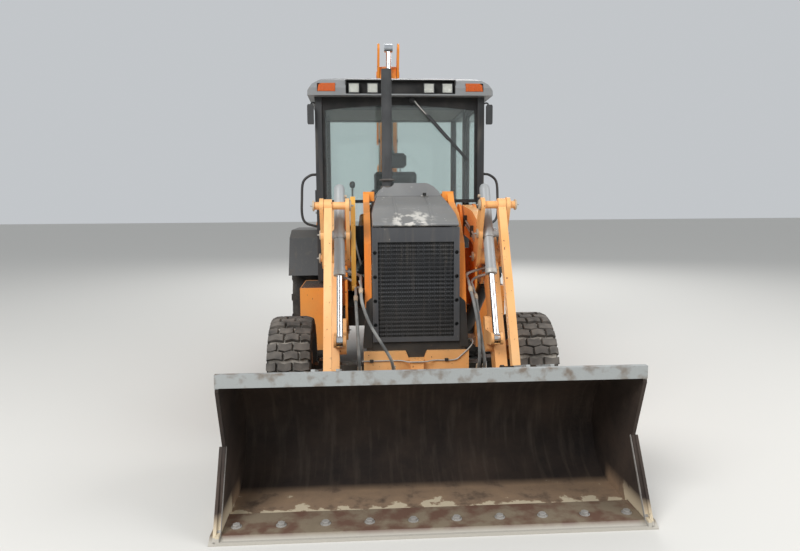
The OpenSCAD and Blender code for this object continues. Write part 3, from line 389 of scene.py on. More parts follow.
class Piece:
    """A mesh in the making. Its finishes are materials, and use(i) picks the one for what follows."""
    def __init__(self, name, body, *finishes):
        self.name, self.body, self.finishes = name, body, finishes
        self.mesh, self.finish = bmesh.new(), 0

    def use(self, finish):
        self.finish = finish
        return self

    def face(self, corners):
        self.mesh.faces.new(corners).material_index = self.finish

    def skin(self, rings, caps=True, round_trip=False):
        """Joins rings that have the same number of points, and closes both ends with caps."""
        rows = [[self.mesh.verts.new(p) for p in ring] for ring in rings]
        for a, b in zip(rows, rows[1:] + (rows[:1] if round_trip else [])):
            for i in range(len(a)):
                j = (i + 1) % len(a)
                self.face((a[i], a[j], b[j], b[i]))
        if caps and not round_trip:
            self.face(rows[0][::-1])
            self.face(rows[-1])
        return self

    def prism(self, outline, along, start, end):
        """An outline pushed along an axis. Along x its points are (y, z), along y (x, z)."""
        put = ACROSS[along]
        return self.skin([[put(u, v, w) for u, v in outline] for w in (start, end)])

    def block(self, x, y, z):
        return self.prism([(y[0], z[0]), (y[1], z[0]), (y[1], z[1]), (y[0], z[1])], "x", *x)

    def turned(self, profile, start, way, sides=20):
        """A solid turned round an axis. The profile is a row of (distance along it, radius)."""
        axis = way.normalized()
        u = axis.orthogonal().normalized()
        return self.skin([circle(start + axis * d, u, axis.cross(u), r, sides) for d, r in profile])

    def tube(self, points, radius, sides=10):
        """A round bar bent along points."""
        ways = [(b - a).normalized() for a, b in zip(points, points[1:])]
        ways = [ways[0]] + [(a + b).normalized() for a, b in zip(ways, ways[1:])] + [ways[-1]]
        u = ways[0].orthogonal().normalized()
        rings = []
        for point, way in zip(points, ways):
            u = (u - way * u.dot(way)).normalized()
            rings.append(circle(point, u, way.cross(u), radius, sides))
        return self.skin(rings)

    def pipe(self, places, steps, radius, sides=8):
        """A round bar bent smoothly through places (across, back, up)."""
        return self.tube(curved([at(*place) for place in places], steps), radius, sides)

    def hoop(self, centre, axis, radius, section, sides=40):
        """A ring round an axis. Its section is a closed row of (out from the radius, along the axis)."""
        u = axis.orthogonal().normalized()
        return self.skin([circle(centre + axis * h, u, axis.cross(u), radius + r, sides)
                          for r, h in section], round_trip=True)

    def mirrored(self):
        """Adds the same shapes on the other side of the machine."""
        whole = self.mesh.verts[:] + self.mesh.edges[:] + self.mesh.faces[:]
        for part in bmesh.ops.duplicate(self.mesh, geom=whole)["geom"]:
            if isinstance(part, bmesh.types.BMVert):
                part.co.x = -part.co.x
        return self

    def data(self):
        """Its mesh as it is, which ends the making."""
        made = bpy.data.meshes.new(self.name)
        self.mesh.to_mesh(made)
        self.mesh.free()
        return made

    def done(self, bevel=0.0, crease=35, slot=None):
        """The object, with smooth shading and bevelled edges, riding on its body."""
        bmesh.ops.remove_doubles(self.mesh, verts=self.mesh.verts[:], dist=1e-6)
        bmesh.ops.recalc_face_normals(self.mesh, faces=self.mesh.faces[:])
        data = self.data()
        data.shade_smooth()
        data.set_sharp_from_angle(angle=radians(crease))
        for finish in self.finishes:
            data.materials.append(finish)
        made = placed(self.name, data)
        if bevel:
            rounded = made.modifiers.new("rounded_edges", "BEVEL")
            rounded.width, rounded.segments = bevel, 2
            rounded.limit_method, rounded.angle_limit = "ANGLE", radians(crease)
        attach(made, self.body)
        return made


def hose(name, body, points, diameter):
    """A free hydraulic hose along points, a cord that goes back into the machine."""
    path = curved(points, 5)
    data = bpy.data.curves.new(name, "CURVE")
    data.dimensions = "3D"
    data.bevel_depth, data.bevel_resolution, data.use_fill_caps = diameter / 2, 3, True
    line = data.splines.new("POLY")
    line.points.add(len(path) - 1)
    for spot, p in zip(line.points, path):
        spot.co = (*p, 1.0)
    data.materials.append(hose_rubber)
    made = placed(name, data)
    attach(made, body)
    length = sum((b - a).length for a, b in zip(path, path[1:]))
    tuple(path[0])
    print(name, "is", round(length, 3), "m long")


# %% [markdown]
# ## Bolts by geometry nodes
# A small node tree copies one bolt head onto every point of a cloud, turns each a little by a seeded
# random angle, and merges them to one plain mesh. The same tree serves the cutting edge, the rims, the
# grille's mesh and the rear frame.

# %% Repeats
def bolt_head(radius, height):
    """A template: a washer with a six-sided head on it, along Z."""
    bolt = Piece("bolt_template", None)
    rim = height * 0.25
    for sides, r, low, high in ((20, radius * 1.35, 0.0, rim), (6, radius, rim, height)):
        bolt.skin([circle(UP * z, LEFT, BACK, r * k, sides)
                   for z, k in ((low, 1.0), (high - height * 0.08, 1.0), (high, 0.9))])
    return bolt.data()


def repeat_tree():
    """Instances a template on points, along a facing direction, with a seeded turn."""
    tree = bpy.data.node_groups.new("repeat_on_points", "GeometryNodeTree")
    for label, kind in (("Points", "NodeSocketGeometry"), ("Template", "NodeSocketObject"),
                        ("Facing", "NodeSocketVector"), ("Turn", "NodeSocketFloat"),
                        ("Finish", "NodeSocketMaterial")):
        tree.interface.new_socket(label, in_out="INPUT", socket_type=kind)
    tree.interface.new_socket("Geometry", in_out="OUTPUT", socket_type="NodeSocketGeometry")
    given = add(tree, "NodeGroupInput")
    shape = add(tree, "GeometryNodeObjectInfo", {"Object": given.outputs["Template"]})
    aimed = add(tree, "FunctionNodeAlignRotationToVector", {"Vector": given.outputs["Facing"]}, axis="Z")
    twist = add(tree, "FunctionNodeRandomValue", {"Max": given.outputs["Turn"], "Seed": SEED},
                data_type="FLOAT")
    spin = add(tree, "FunctionNodeAxisAngleToRotation", {"Axis": (0.0, 0.0, 1.0)})
    tree.links.new(next(s for s in twist.outputs if s.enabled), spin.inputs["Angle"])
    turned = add(tree, "FunctionNodeRotateRotation", {0: aimed.outputs[0], 1: spin.outputs[0]},
                 rotation_space="LOCAL")
    copies = add(tree, "GeometryNodeInstanceOnPoints", {"Points": given.outputs["Points"],
                                                       "Instance": shape.outputs["Geometry"],
                                                       "Rotation": turned.outputs[0]})
    real = add(tree, "GeometryNodeRealizeInstances", {0: copies.outputs[0]})
    done = add(tree, "GeometryNodeSetMaterial", {0: real.outputs[0], "Material": given.outputs["Finish"]})
    add(tree, "NodeGroupOutput", {0: done.outputs[0]})
    return tree


SEED = 7                                # of the random turns
REPEAT = repeat_tree()


def repeated(name, body, places, facing, template, finish, turn=1.0):
    """One plain mesh with the template on each of the places."""
    cloud = bpy.data.meshes.new(name)
    cloud.from_pydata([tuple(p) for p in places], [], [])
    made, stamp = placed(name, cloud), placed(name + "_template", template)
    modifier = made.modifiers.new("repeat", "NODES")
    modifier.node_group = REPEAT
    sockets = {s.name: s.identifier for s in REPEAT.interface.items_tree if s.in_out == "INPUT"}
    for label, value in (("Template", stamp), ("Facing", Vector(facing)), ("Turn", turn),
                         ("Finish", finish)):
        modifier[sockets[label]] = value
    baked(made)
    bpy.data.objects.remove(stamp)
    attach(made, body)
    print(name, len(places), "copies")


# %% [markdown]
# ## The loader bucket
# The cutting edge is bolted on from above by ten bolts. The front edges of the side plates are rubbed
# bright.

# %% Bucket
BUCKET_HALF = 1.09
edge_bolts = [at(-1.01 + i * 2.02 / 9, 0.13, 0.03) for i in range(10)]
repeated("cutting_edge_bolts", "loader_bucket", edge_bolts, (0, 0, 1), bolt_head(0.02, 0.016), bright_edge)
rubbed = Piece("rubbed_side_edges", "loader_bucket", bright_edge)
rubbed.prism([(0.004, 0.016), (0.05, 0.016), (0.262, 0.4), (0.25, 0.409), (0.036, 0.03)], "x",
             BUCKET_HALF - 0.02, BUCKET_HALF + 0.0145)
rubbed.mirrored().done(bevel=0.002, slot="worn_steel")

# %% [markdown]
# ## Grille and hood
# Behind the grille's frame a sheet of six-sided mesh covers the radiator. The hood has a rolled front
# lip, two pressed ribs and a latch with its handle.

# %% Grille mesh
GRILLE_HALF, GRILLE_LOW, GRILLE_HIGH, GRILLE_Y = 0.252, 0.766, 1.399, 1.2125
CELL = 0.0155                           # distance between two openings of the mesh


def mesh_cell():
    """A template: a six-sided ring, the rim of one opening."""
    cell = Piece("mesh_cell", None)
    cell.skin([circle(UP * z, BACK, LEFT, r, 6)
               for z, r in ((0.0, CELL * 0.59), (0.0, CELL * 0.42), (-0.002, CELL * 0.42))], caps=False)
    return cell.data()


cells = []
row_step = CELL * 0.866
for j in range(int((GRILLE_HIGH - GRILLE_LOW) / row_step)):
    for i in range(int(2 * GRILLE_HALF / CELL)):
        cells.append(at(-GRILLE_HALF + (i + 0.5 + (j % 2) / 2) * CELL, GRILLE_Y,
                        GRILLE_LOW + (j + 0.5) * row_step))
repeated("grille_mesh", "root", cells, (0, -1, 0), mesh_cell(), black_enamel, turn=0.0)

# %% Hood trim
trim = Piece("hood_trim", "hood", hood_enamel, black_rubber, zinc)
trim.tube([at(x, 1.2, 1.513) for x in (-0.283, -0.1, 0.1, 0.283)], 0.011, 12)
for x in (-0.12, 0.12):
    trim.skin([[at(x - 0.012, y, z), at(x - 0.006, y, z + 0.007), at(x + 0.006, y, z + 0.007),
                at(x + 0.012, y, z)] for y, z in ((1.24, 1.537), (1.476, 1.629), (1.72, 1.694))])
# Latch with its handle
trim.use(2).block((0.085, 0.135), (1.735, 1.752), (1.702, 1.712))
trim.use(1).block((0.098, 0.122), (1.715, 1.75), (1.71, 1.73))
trim.done(bevel=0.002, slot="grey_paint")
seam = Piece("hood_seam", "root", black_rubber)
seam.tube([at(x, 1.7575, z) for x, z in ((-0.2655, 1.64), (-0.2395, 1.7045), (0.2395, 1.7045),
                                          (0.2655, 1.64))], 0.0035, 6)
seam.done()

# %% Exhaust clamp
clamp = Piece("exhaust_clamp", "root", cast_steel, zinc)
STACK, STACK_R = at(-0.157, 1.88, 0), 0.038
clamp.hoop(STACK + UP * 1.765, UP, STACK_R, [(0, -0.02), (0.012, -0.02), (0.012, 0.02), (0, 0.02)], 24)
clamp.hoop(STACK + UP * 1.83, UP, STACK_R, [(0, -0.01), (0.02, -0.004), (0.02, 0.004), (0, 0.01)], 24)
clamp.use(1).turned([(0, 0.006), (0.07, 0.006)], STACK + Vector((0.045, -0.03, 1.765)), BACK, 8)
clamp.done(bevel=0.001, slot="exhaust_steel")

# %% [markdown]
# ## Lamps in the roof
# Four square work lamps sit in the black recess, each with a bright bowl behind a clear lens, and an
# amber signal lamp closes each end.

# %% Roof lamps
LAMP_Y, LAMP_Z = 2.63, 2.639            # middle of a lamp's front
LAMP_OUT, LAMP_IN = 0.047, 0.042        # half widths of its housing
lamps = Piece("roof_lamps", "root", plastic, chrome, lens, amber)
height, depth = (LAMP_Z - LAMP_IN, LAMP_Z + LAMP_IN), (LAMP_Y, 2.653)
for x in (-0.402, -0.243, 0.243, 0.402):
    front = at(x, LAMP_Y, LAMP_Z)
    lamps.use(0).block((x - LAMP_OUT, x + LAMP_OUT), (2.652, 2.6895), height)
    for side in (-1, 1):
        lamps.block((x + side * LAMP_IN, x + side * LAMP_OUT), depth, height)
        lamps.block((x - LAMP_IN, x + LAMP_IN), depth, (LAMP_Z + side * 0.037, LAMP_Z + side * LAMP_IN))
    lamps.use(1).turned([(0.020, 0.010), (0.019, 0.016), (0.012, 0.029), (0.004, 0.036), (0.0045, 0.0362),
                         (0.0205, 0.0165)], front, BACK, 24)
    lamps.turned([(0.006, 0.008), (0.012, 0.009), (0.02, 0.009)], front, BACK, 12)
    lamps.use(2).block((x - 0.0415, x + 0.0415), (2.6315, 2.634), (2.6025, 2.6755))
for side in (-1, 1):
    lamps.use(3).prism([(side * 0.562, 2.613), (side * 0.712, 2.613), (side * 0.704, 2.665),
                        (side * 0.68, 2.679), (side * 0.562, 2.68)], "y", 2.634, 2.6835)
    for i in range(9):
        u = side * (0.575 + i * 0.0145)
        lamps.tube([at(u, 2.6335, 2.618), at(u, 2.6335, 2.672)], 0.0028, 6)
roof_lamps = lamps.done(bevel=0.0015, slot="lamp_lens")
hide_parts("lamps")

# %% [markdown]
# ## The outside of the cab
# A rubber seal holds the windscreen, a dark band shades its top, and one long wiper parks across it.
# Mirrors and bent grab handles stand on the pillars.

# %% Cab outside
def frame_outline(half, low, high):
    return [(-half, low), (half, low), (half, high), (-half, high)]


def pane_seal(piece, outline, inner, along, start, end):
    """A flat ring between two outlines that have the same number of corners."""
    put = ACROSS[along]
    piece.skin([[put(*a, start), put(*b, start), put(*b, end), put(*a, end)]
                for a, b in zip(outline, inner)], round_trip=True)


seal = Piece("windscreen_seal", "root", black_rubber)
pane_seal(seal, frame_outline(0.684, 1.662, 2.579), frame_outline(0.66, 1.69, 2.553), "y", 2.758, 2.764)
band = [(-0.66, 2.553), (-0.66, 2.47)]
band += [(-0.66 + 1.32 * i / 12, 2.47 + 0.045 * sin(pi * i / 12)) for i in range(1, 12)]
band += [(0.66, 2.47), (0.66, 2.553)]
seal.prism(band, "y", 2.7605, 2.7635)
seal.done(bevel=0.001)

wiper = Piece("windscreen_wiper", "root", plastic, zinc)
wiper.turned([(0, 0.026), (0.018, 0.026), (0.03, 0.016)], at(0.105, 2.76, 2.56), -BACK)
wiper.pipe([(0.105, 2.735, 2.56), (0.19, 2.726, 2.47), (0.33, 2.726, 2.315), (0.425, 2.738, 2.215)], 4,
           0.011)
wiper.use(1).tube([at(0.125, 2.724, 2.548), at(0.155, 2.712, 2.505), at(0.225, 2.712, 2.43)], 0.005, 8)
wiper.use(0).prism([(0.236, 2.42), (0.255, 2.434), (0.606, 2.048), (0.588, 2.031)], "y", 2.742, 2.757)
wiper.done(bevel=0.001)

mirrors = Piece("mirrors", "root", plastic, chrome)
mirrors.pipe([(0.72, 2.77, 2.5), (0.75, 2.74, 2.53), (0.776, 2.71, 2.51), (0.776, 2.7, 2.4)], 4, 0.007)
mirrors.prism([(0.753, 2.34), (0.80, 2.34), (0.805, 2.352), (0.805, 2.495), (0.798, 2.508), (0.757, 2.508),
               (0.75, 2.495), (0.75, 2.352)], "y", 2.665, 2.695)
mirrors.use(1).prism([(0.755, 2.348), (0.80, 2.348), (0.80, 2.5), (0.755, 2.5)], "y", 2.694, 2.6965)
mirrors.mirrored().done(bevel=0.004)

handles = Piece("grab_handles", "root", black_enamel)
handles.pipe([(0.74, 2.77, 1.915), (0.8, 2.76, 1.905), (0.862, 2.76, 1.845), (0.875, 2.76, 1.7),
              (0.876, 2.76, 1.56), (0.842, 2.76, 1.488), (0.74, 2.77, 1.455)], 5, 0.0115, 10)
handles.mirrored().done()

roof_trim = Piece("roof_trim", "root", black_rubber)
pane_seal(roof_trim, frame_outline(0.475, 2.588, 2.711), frame_outline(0.466, 2.594, 2.703), "y", 2.6405,
          2.652)
# The liner of the recess behind the lamps
roof_trim.block((-0.4705, 0.4705), (2.686, 2.6893), (2.5935, 2.7065))
for z in (2.5925, 2.7055):
    roof_trim.block((-0.4715, 0.4715), (2.644, 2.689), (z, z + 0.002))
for x in (-0.4715, 0.4695):
    roof_trim.block((x, x + 0.002), (2.644, 2.689), (2.593, 2.707))
roof_trim.done(bevel=0.0005)

# %% Doors
def door_pieces(side, name):
    """Handle, latch and pane seal of one door."""
    trim = Piece("door_%s_trim" % name, "door_" + name, black_rubber, plastic, zinc)
    pane = [(2.856, 1.116), (3.002, 1.116), (3.066, 1.325), (3.176, 1.47), (3.474, 1.47), (3.474, 2.514),
            (2.856, 2.514)]
    inner = [(2.872, 1.132), (2.99, 1.132), (3.052, 1.333), (3.167, 1.486), (3.458, 1.486), (3.458, 2.498),
             (2.872, 2.498)]
    pane_seal(trim, pane, inner, "x", 0.7225, 0.7405)
    trim.use(1).block((0.739, 0.762), (2.826, 2.85), (1.62, 1.78))
    trim.use(2).turned([(0, 0.012), (0.01, 0.012), (0.024, 0.009)], at(0.739, 2.838, 1.58), LEFT, 12)
    for v in trim.mesh.verts:
        v.co.x *= side
    trim.done(bevel=0.002)


door_pieces(1, "left")
door_pieces(-1, "right")

# %% [markdown]
# ## The inside of the cab
# The seat's three pads are puffed up by a short cloth simulation: each starts as a plain block, is
# remeshed finely, swells under pressure, and no point may move more than the cap. Seams are laid on
# afterwards. The levers for the loader and for the digging arm stand beside the seat.

# %% Seat
VOXEL, CORNER = 0.009, 0.022            # grain of the remesh, and rounding of a pad's corners
SWELL_FRAMES, PRESSURE = 20, 4.0


def padded_block(name, low, high, cap=0.014):
    """A sewn pad that fills the box between two corners."""
    inset = Vector((0.012, 0.012, 0.010))
    a, b = at(*low) + inset, at(*high) - inset
    block = Piece(name, "root")
    bmesh.ops.create_cube(block.mesh, size=1.0)
    for v in block.mesh.verts:
        v.co = Vector(a[i] if v.co[i] < 0 else b[i] for i in range(3))
    bmesh.ops.bevel(block.mesh, geom=block.mesh.edges[:], offset=CORNER, segments=3, affect="EDGES")
    pad = placed(name, block.data())
    remesh = pad.modifiers.new("remesh", "REMESH")
    remesh.mode, remesh.voxel_size = "VOXEL", VOXEL
    start = [v.co.copy() for v in baked(pad).vertices]
    cloth = pad.modifiers.new("cloth", "CLOTH")
    cloth.settings.use_pressure = True
    cloth.settings.uniform_pressure_force = PRESSURE
    cloth.settings.effector_weights.gravity = 0.0
    cloth.point_cache.frame_end = SWELL_FRAMES
    for step in range(SWELL_FRAMES):
        bpy.context.scene.frame_set(step + 1)
    for v, rest in zip(baked(pad).vertices, start):
        move = v.co - rest
        if move.length > cap:
            v.co = rest + move * (cap / move.length)
    bpy.context.scene.frame_set(1)
    pad.data.shade_smooth()
    pad.data.materials.append(seat_cloth)
    soften = pad.modifiers.new("soften", "SUBSURF")
    soften.levels = soften.render_levels = 1
    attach(pad, "root")
    return pad


seat_low = padded_block("seat_cushion", (-0.25, 3.12, 1.31), (0.25, 3.55, 1.44))
padded_block("seat_backrest", (-0.24, 3.53, 1.44), (0.24, 3.65, 2.0))
padded_block("seat_headrest", (-0.13, 3.55, 2.0), (0.13, 3.64, 2.18))
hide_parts("seat")
stand = Piece("seat_stand", "root", plastic, black_rubber, zinc)
stand.block((-0.2, 0.2), (3.18, 3.5), (1.011, 1.05))
for i in range(5):
    stand.use(1).block((-0.17, 0.17), (3.2, 3.48), (1.05 + i * 0.04, 1.085 + i * 0.04))
stand.use(0).block((-0.2, 0.2), (3.17, 3.51), (1.25, 1.312))
for x in (-0.05, 0.05):
    stand.use(2).tube([at(x, 3.6, 1.96), at(x, 3.6, 2.03)], 0.007, 8)
stand.done(bevel=0.004)
seams = Piece("seat_seams", "root", black_rubber)
for x in (-0.12, 0.12):
    seams.pipe([(x, 3.16, 1.4415), (x, 3.3, 1.4465), (x, 3.5, 1.443)], 4, 0.0028, 6)
    seams.pipe([(x, 3.527, 1.5), (x, 3.5215, 1.7), (x, 3.526, 1.95)], 4, 0.0028, 6)
seams.done()

# %% Levers and headliner
levers = Piece("control_levers", "root", plastic, zinc, black_rubber)
for foot, knob in (((-0.34, 2.98, 1.0), (-0.43, 2.93, 1.80)), ((0.30, 3.78, 1.0), (0.22, 3.62, 1.74)),
                   ((-0.30, 3.78, 1.0), (-0.22, 3.62, 1.74)), ((0.40, 3.2, 1.0), (0.38, 3.12, 1.62))):
    a, b = at(*foot), at(*knob)
    middle = a.lerp(b, 0.5) + Vector((0.04 * (1 if a.x > 0 else -1), 0.07, 0))
    levers.use(1).tube(curved([a, middle, b], 6), 0.009, 8)
    levers.use(0).turned([(-0.002, 0.012), (0.006, 0.022), (0.028, 0.027), (0.05, 0.022), (0.06, 0.008)], b,
                         UP, 14)
    a += UP * 0.012
    levers.use(2).turned([(0.0, 0.06), (0.02, 0.055), (0.05, 0.03), (0.08, 0.012)], a, b - a, 14)
# Pedals
for x in (-0.12, 0.02, 0.12):
    levers.use(2).block((x - 0.035, x + 0.035), (2.8, 2.83), (1.03, 1.14))
levers.done(bevel=0.002)
liner = Piece("cab_lining", "root", moulded("grey_headliner", "6F6B66", 0.8), plastic)
liner.block((-0.68, 0.68), (2.82, 4.36), (2.585, 2.6))
liner.use(1).block((-0.52, 0.52), (2.8, 2.96), (2.5, 2.585))
liner.mirrored().done(bevel=0.004)

# %% [markdown]
# ## Loader hydraulics and pins
# Steel pipes leave each arm behind its bellcrank and end in fittings, and flexible hoses hang from
# them to the cross tube. Everything here rides on the arms, so no hose has to stretch over a joint.
# Every pin gets its caps, and each tilt cylinder a domed cap and its gland.

# %% Pipes and hoses
pipes = Piece("arm_pipes", "loader_arms", zinc, pale_cast, black_enamel)
for x, lift in ((0.40, 0.0), (0.366, 0.05)):
    pipes.use(0).pipe([(0.512, 1.45, 1.15 + lift), (0.455, 1.45, 1.135 + lift),
                       (x + 0.008, 1.41, 1.11 + lift), (x, 1.3, 1.075 + lift), (x, 1.215, 1.035 + lift)],
                      5, 0.0095, 10)
    pipes.use(1).turned([(0, 0.015), (0.03, 0.015), (0.032, 0.0125), (0.05, 0.0125)],
                        at(x, 1.225, 1.04 + lift), Vector((0, -0.095, -0.055)), 12)
# Pipes along the arms' inner faces, with their clamps
for lift in (0.0, 0.032):
    pipes.use(0).pipe([(0.502, 1.47, 1.17 + lift), (0.502, 1.56, 1.25 + lift), (0.502, 1.9, 1.39 + lift),
                       (0.502, 2.3, 1.49 + lift)], 5, 0.0085)
for y, z in ((1.62, 1.285), (1.95, 1.42), (2.25, 1.495)):
    pipes.use(2).block((0.488, 0.512), (y - 0.015, y + 0.015), (z - 0.03, z + 0.06))
pipes.mirrored()
# Fittings on the cross tube
for x in (0.436, 0.396, -0.16, -0.38):
    pipes.use(1).turned([(0, 0.014), (0.045, 0.014), (0.047, 0.019), (0.06, 0.019)], at(x, 1.078, 0.60),
                        Vector((0, 0.022, -0.055)), 12)
pipes.done(bevel=0.001)

HOSE = 0.021                            # outer diameter
for name, route in (
        ("tilt_hose_left_a", ((0.40, 1.19, 1.018), (0.398, 1.12, 0.95), (0.405, 1.07, 0.84),
                              (0.42, 1.045, 0.72), (0.432, 1.05, 0.63), (0.436, 1.086, 0.572))),
        ("tilt_hose_left_b", ((0.366, 1.19, 1.068), (0.372, 1.11, 1.0), (0.385, 1.045, 0.88),
                              (0.392, 1.02, 0.75), (0.396, 1.035, 0.64), (0.396, 1.086, 0.572))),
        ("tilt_hose_right_a", ((-0.40, 1.19, 1.018), (-0.396, 1.12, 0.95), (-0.39, 1.07, 0.84),
                               (-0.385, 1.045, 0.72), (-0.382, 1.05, 0.63), (-0.38, 1.086, 0.572))),
        ("tilt_hose_right_b", ((-0.366, 1.19, 1.068), (-0.355, 1.11, 1.0), (-0.31, 1.04, 0.885),
                               (-0.24, 1.0, 0.77), (-0.18, 1.02, 0.66), (-0.16, 1.086, 0.572)))):
    hose(name, "loader_arms", [at(*place) for place in route], HOSE)

# %% Pins
# Back from the cutting edge and up
PIVOT, LINK_TOP, TRUNNION = (1.44, 1.28), (1.2403, 1.6403), (1.3282, 1.4458)
TILT_EYE, LIFT_EYE, LIFT_BASE, ARM_PIVOT = (1.028, 0.78), (1.59, 1.11), (2.44, 0.58), (2.5, 1.52)
BUCKET_HINGE, LINK_BOTTOM = (0.97, 0.26), (0.7703, 0.6203)


def pin_caps(name, body, rows):
    """Round end caps with a grease nipple on pins along X. A row is (inner x, outer x, (y, z), radius)."""
    caps = Piece(name, body, pale_cast, zinc)
    for inner, outer, (y, z), radius in rows:
        for x, way in ((inner, -1), (outer, 1)):
            near = at(x - way * 0.002, y, z)
            caps.use(0).turned([(0, radius), (0.008, radius), (0.012, radius * 0.86)], near, LEFT * way, 20)
            caps.use(1).turned([(0.011, 0.007), (0.018, 0.007), (0.02, 0.004), (0.028, 0.004)], near,
                               LEFT * way, 8)
    caps.mirrored().done(bevel=0.001, slot="cast_iron")


for name, body, rows in (
        ("arm_pin_caps", "loader_arms", [(0.421, 0.640, PIVOT, 0.034), (0.499, 0.601, LIFT_EYE, 0.03)]),
        ("link_pin_caps", "bellcranks", [(0.431, 0.664, LINK_TOP, 0.036)]),
        ("trunnion_caps", "tilt_barrels", [(0.434, 0.627, TRUNNION, 0.033)]),
        ("tower_pin_caps", "root", [(0.477, 0.623, ARM_PIVOT, 0.045), (0.477, 0.623, LIFT_BASE, 0.034)]),
        ("bucket_pin_caps", "loader_bucket", [(0.47, 0.63, BUCKET_HINGE, 0.034),
                                              (0.47, 0.63, LINK_BOTTOM, 0.034)])):
    pin_caps(name, body, rows)

# %% Tilt cylinders and the safety strut
slope = Vector((0, TRUNNION[0] - TILT_EYE[0], TRUNNION[1] - TILT_EYE[1])).normalized()
glands = Piece("tilt_cylinder_ends", "tilt_barrels", grey_enamel, zinc, pale_cast)
middle = at(0.504, *TRUNNION)
glands.turned([(0.325, 0.0365), (0.345, 0.0345), (0.362, 0.026), (0.37, 0.012)], middle, slope, 24)
glands.use(1).turned([(-0.29, 0.027), (-0.288, 0.0395), (-0.262, 0.0405), (-0.258, 0.039)], middle,
                     slope, 24)
port = middle + slope * 0.28
glands.use(2).turned([(0, 0.012), (0.02, 0.012)], port - LEFT * 0.03, -LEFT, 10)
glands.mirrored().done(bevel=0.001)
strut = Piece("safety_strut", "loader_arms", yellow_enamel, zinc)
strut.prism([(1.335, 1.10), (1.352, 1.10), (1.322, 1.70), (1.305, 1.70)], "x", -0.428, -0.396)
strut.turned([(0, 0.022), (0.03, 0.022)], at(-0.426, 1.343, 1.085), LEFT, 16)
strut.use(1).turned([(0, 0.008), (0.05, 0.008)], at(-0.42, 1.343, 1.085), LEFT, 10)
strut.prism([(1.34, 1.26), (1.45, 1.26), (1.45, 1.3), (1.34, 1.3)], "x", -0.432, -0.426)
strut.done(bevel=0.002)

# %% [markdown]
# ## Beside the grille
# Black tapered covers close the corners of the cooler, a thin steel line runs before the bumper and
# turns up beside it, and a red filter sits on the side panel.

# %% Cooler corners
corner = Piece("cooler_corner_covers", "root", black_enamel)
corner.skin([[at(0.291, 1.206, z), at(x, 1.21, z), at(x, 1.29, z), at(0.291, 1.29, z)]
             for z, x in ((0.69, 0.356), (1.0, 0.331), (1.03, 0.297))])
corner.mirrored().done(bevel=0.003)
line = Piece("bumper_front_line", "root", zinc, black_enamel)
line.pipe([(-0.366, 1.178, 0.612), (-0.12, 1.178, 0.612), (-0.055, 1.142, 0.61), (0.055, 1.142, 0.61),
           (0.12, 1.178, 0.61), (0.25, 1.178, 0.61), (0.30, 1.178, 0.64), (0.37, 1.19, 0.705),
           (0.385, 1.25, 0.73), (0.35, 1.28, 0.73)], 5, 0.0045)
for x in (-0.3, 0.2):
    line.use(1).block((x - 0.012, x + 0.012), (1.172, 1.1855), (0.602, 0.622))
line.done(bevel=0.001)
oil_filter = Piece("oil_filter", "root", red_plastic, zinc)
foot = at(0.352, 1.95, 1.06)
oil_filter.turned([(0, 0.03), (0.012, 0.038), (0.19, 0.038), (0.2, 0.034)], foot, UP, 24)
oil_filter.use(1).turned([(0.2, 0.036), (0.225, 0.036), (0.23, 0.03)], foot, UP, 20)
oil_filter.use(1).block((0.305, 0.352), (1.93, 1.97), (1.255, 1.285))
oil_filter.done(bevel=0.001)

# %% [markdown]
# ## Wheels
# The front tyres carry rows of interlocking chevron blocks, worn grey on top and dusty between. A
# block is a six-cornered outline wrapped round the tyre. The wheel nuts come from the repeat tree.

# %% Front tyres
TYRE_R, TYRE_HALF, RIM_R = 0.415, 0.1535, 0.215
FLOOR_R = TYRE_R - 0.030                # the grooves' floor
ROWS = 36
worn_tread = dusty_rubber("worn_tread_blocks", "3F3C39", "6E6861", 160.0, (0.34, 0.66))
groove_rubber = dusty_rubber("dusty_tread_grooves", "57534D", "A39C92", 120.0, (0.3, 0.6))


def tyre_centre(node):
    low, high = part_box(node)
    return (low + high) / 2


def both_flanks(*half):
    """A closed section of a tyre, from (radius, share of the half width) on one side."""
    near = [(r, -TYRE_HALF * share) for r, share in half]
    return near + [(r, -x) for r, x in near[::-1]]


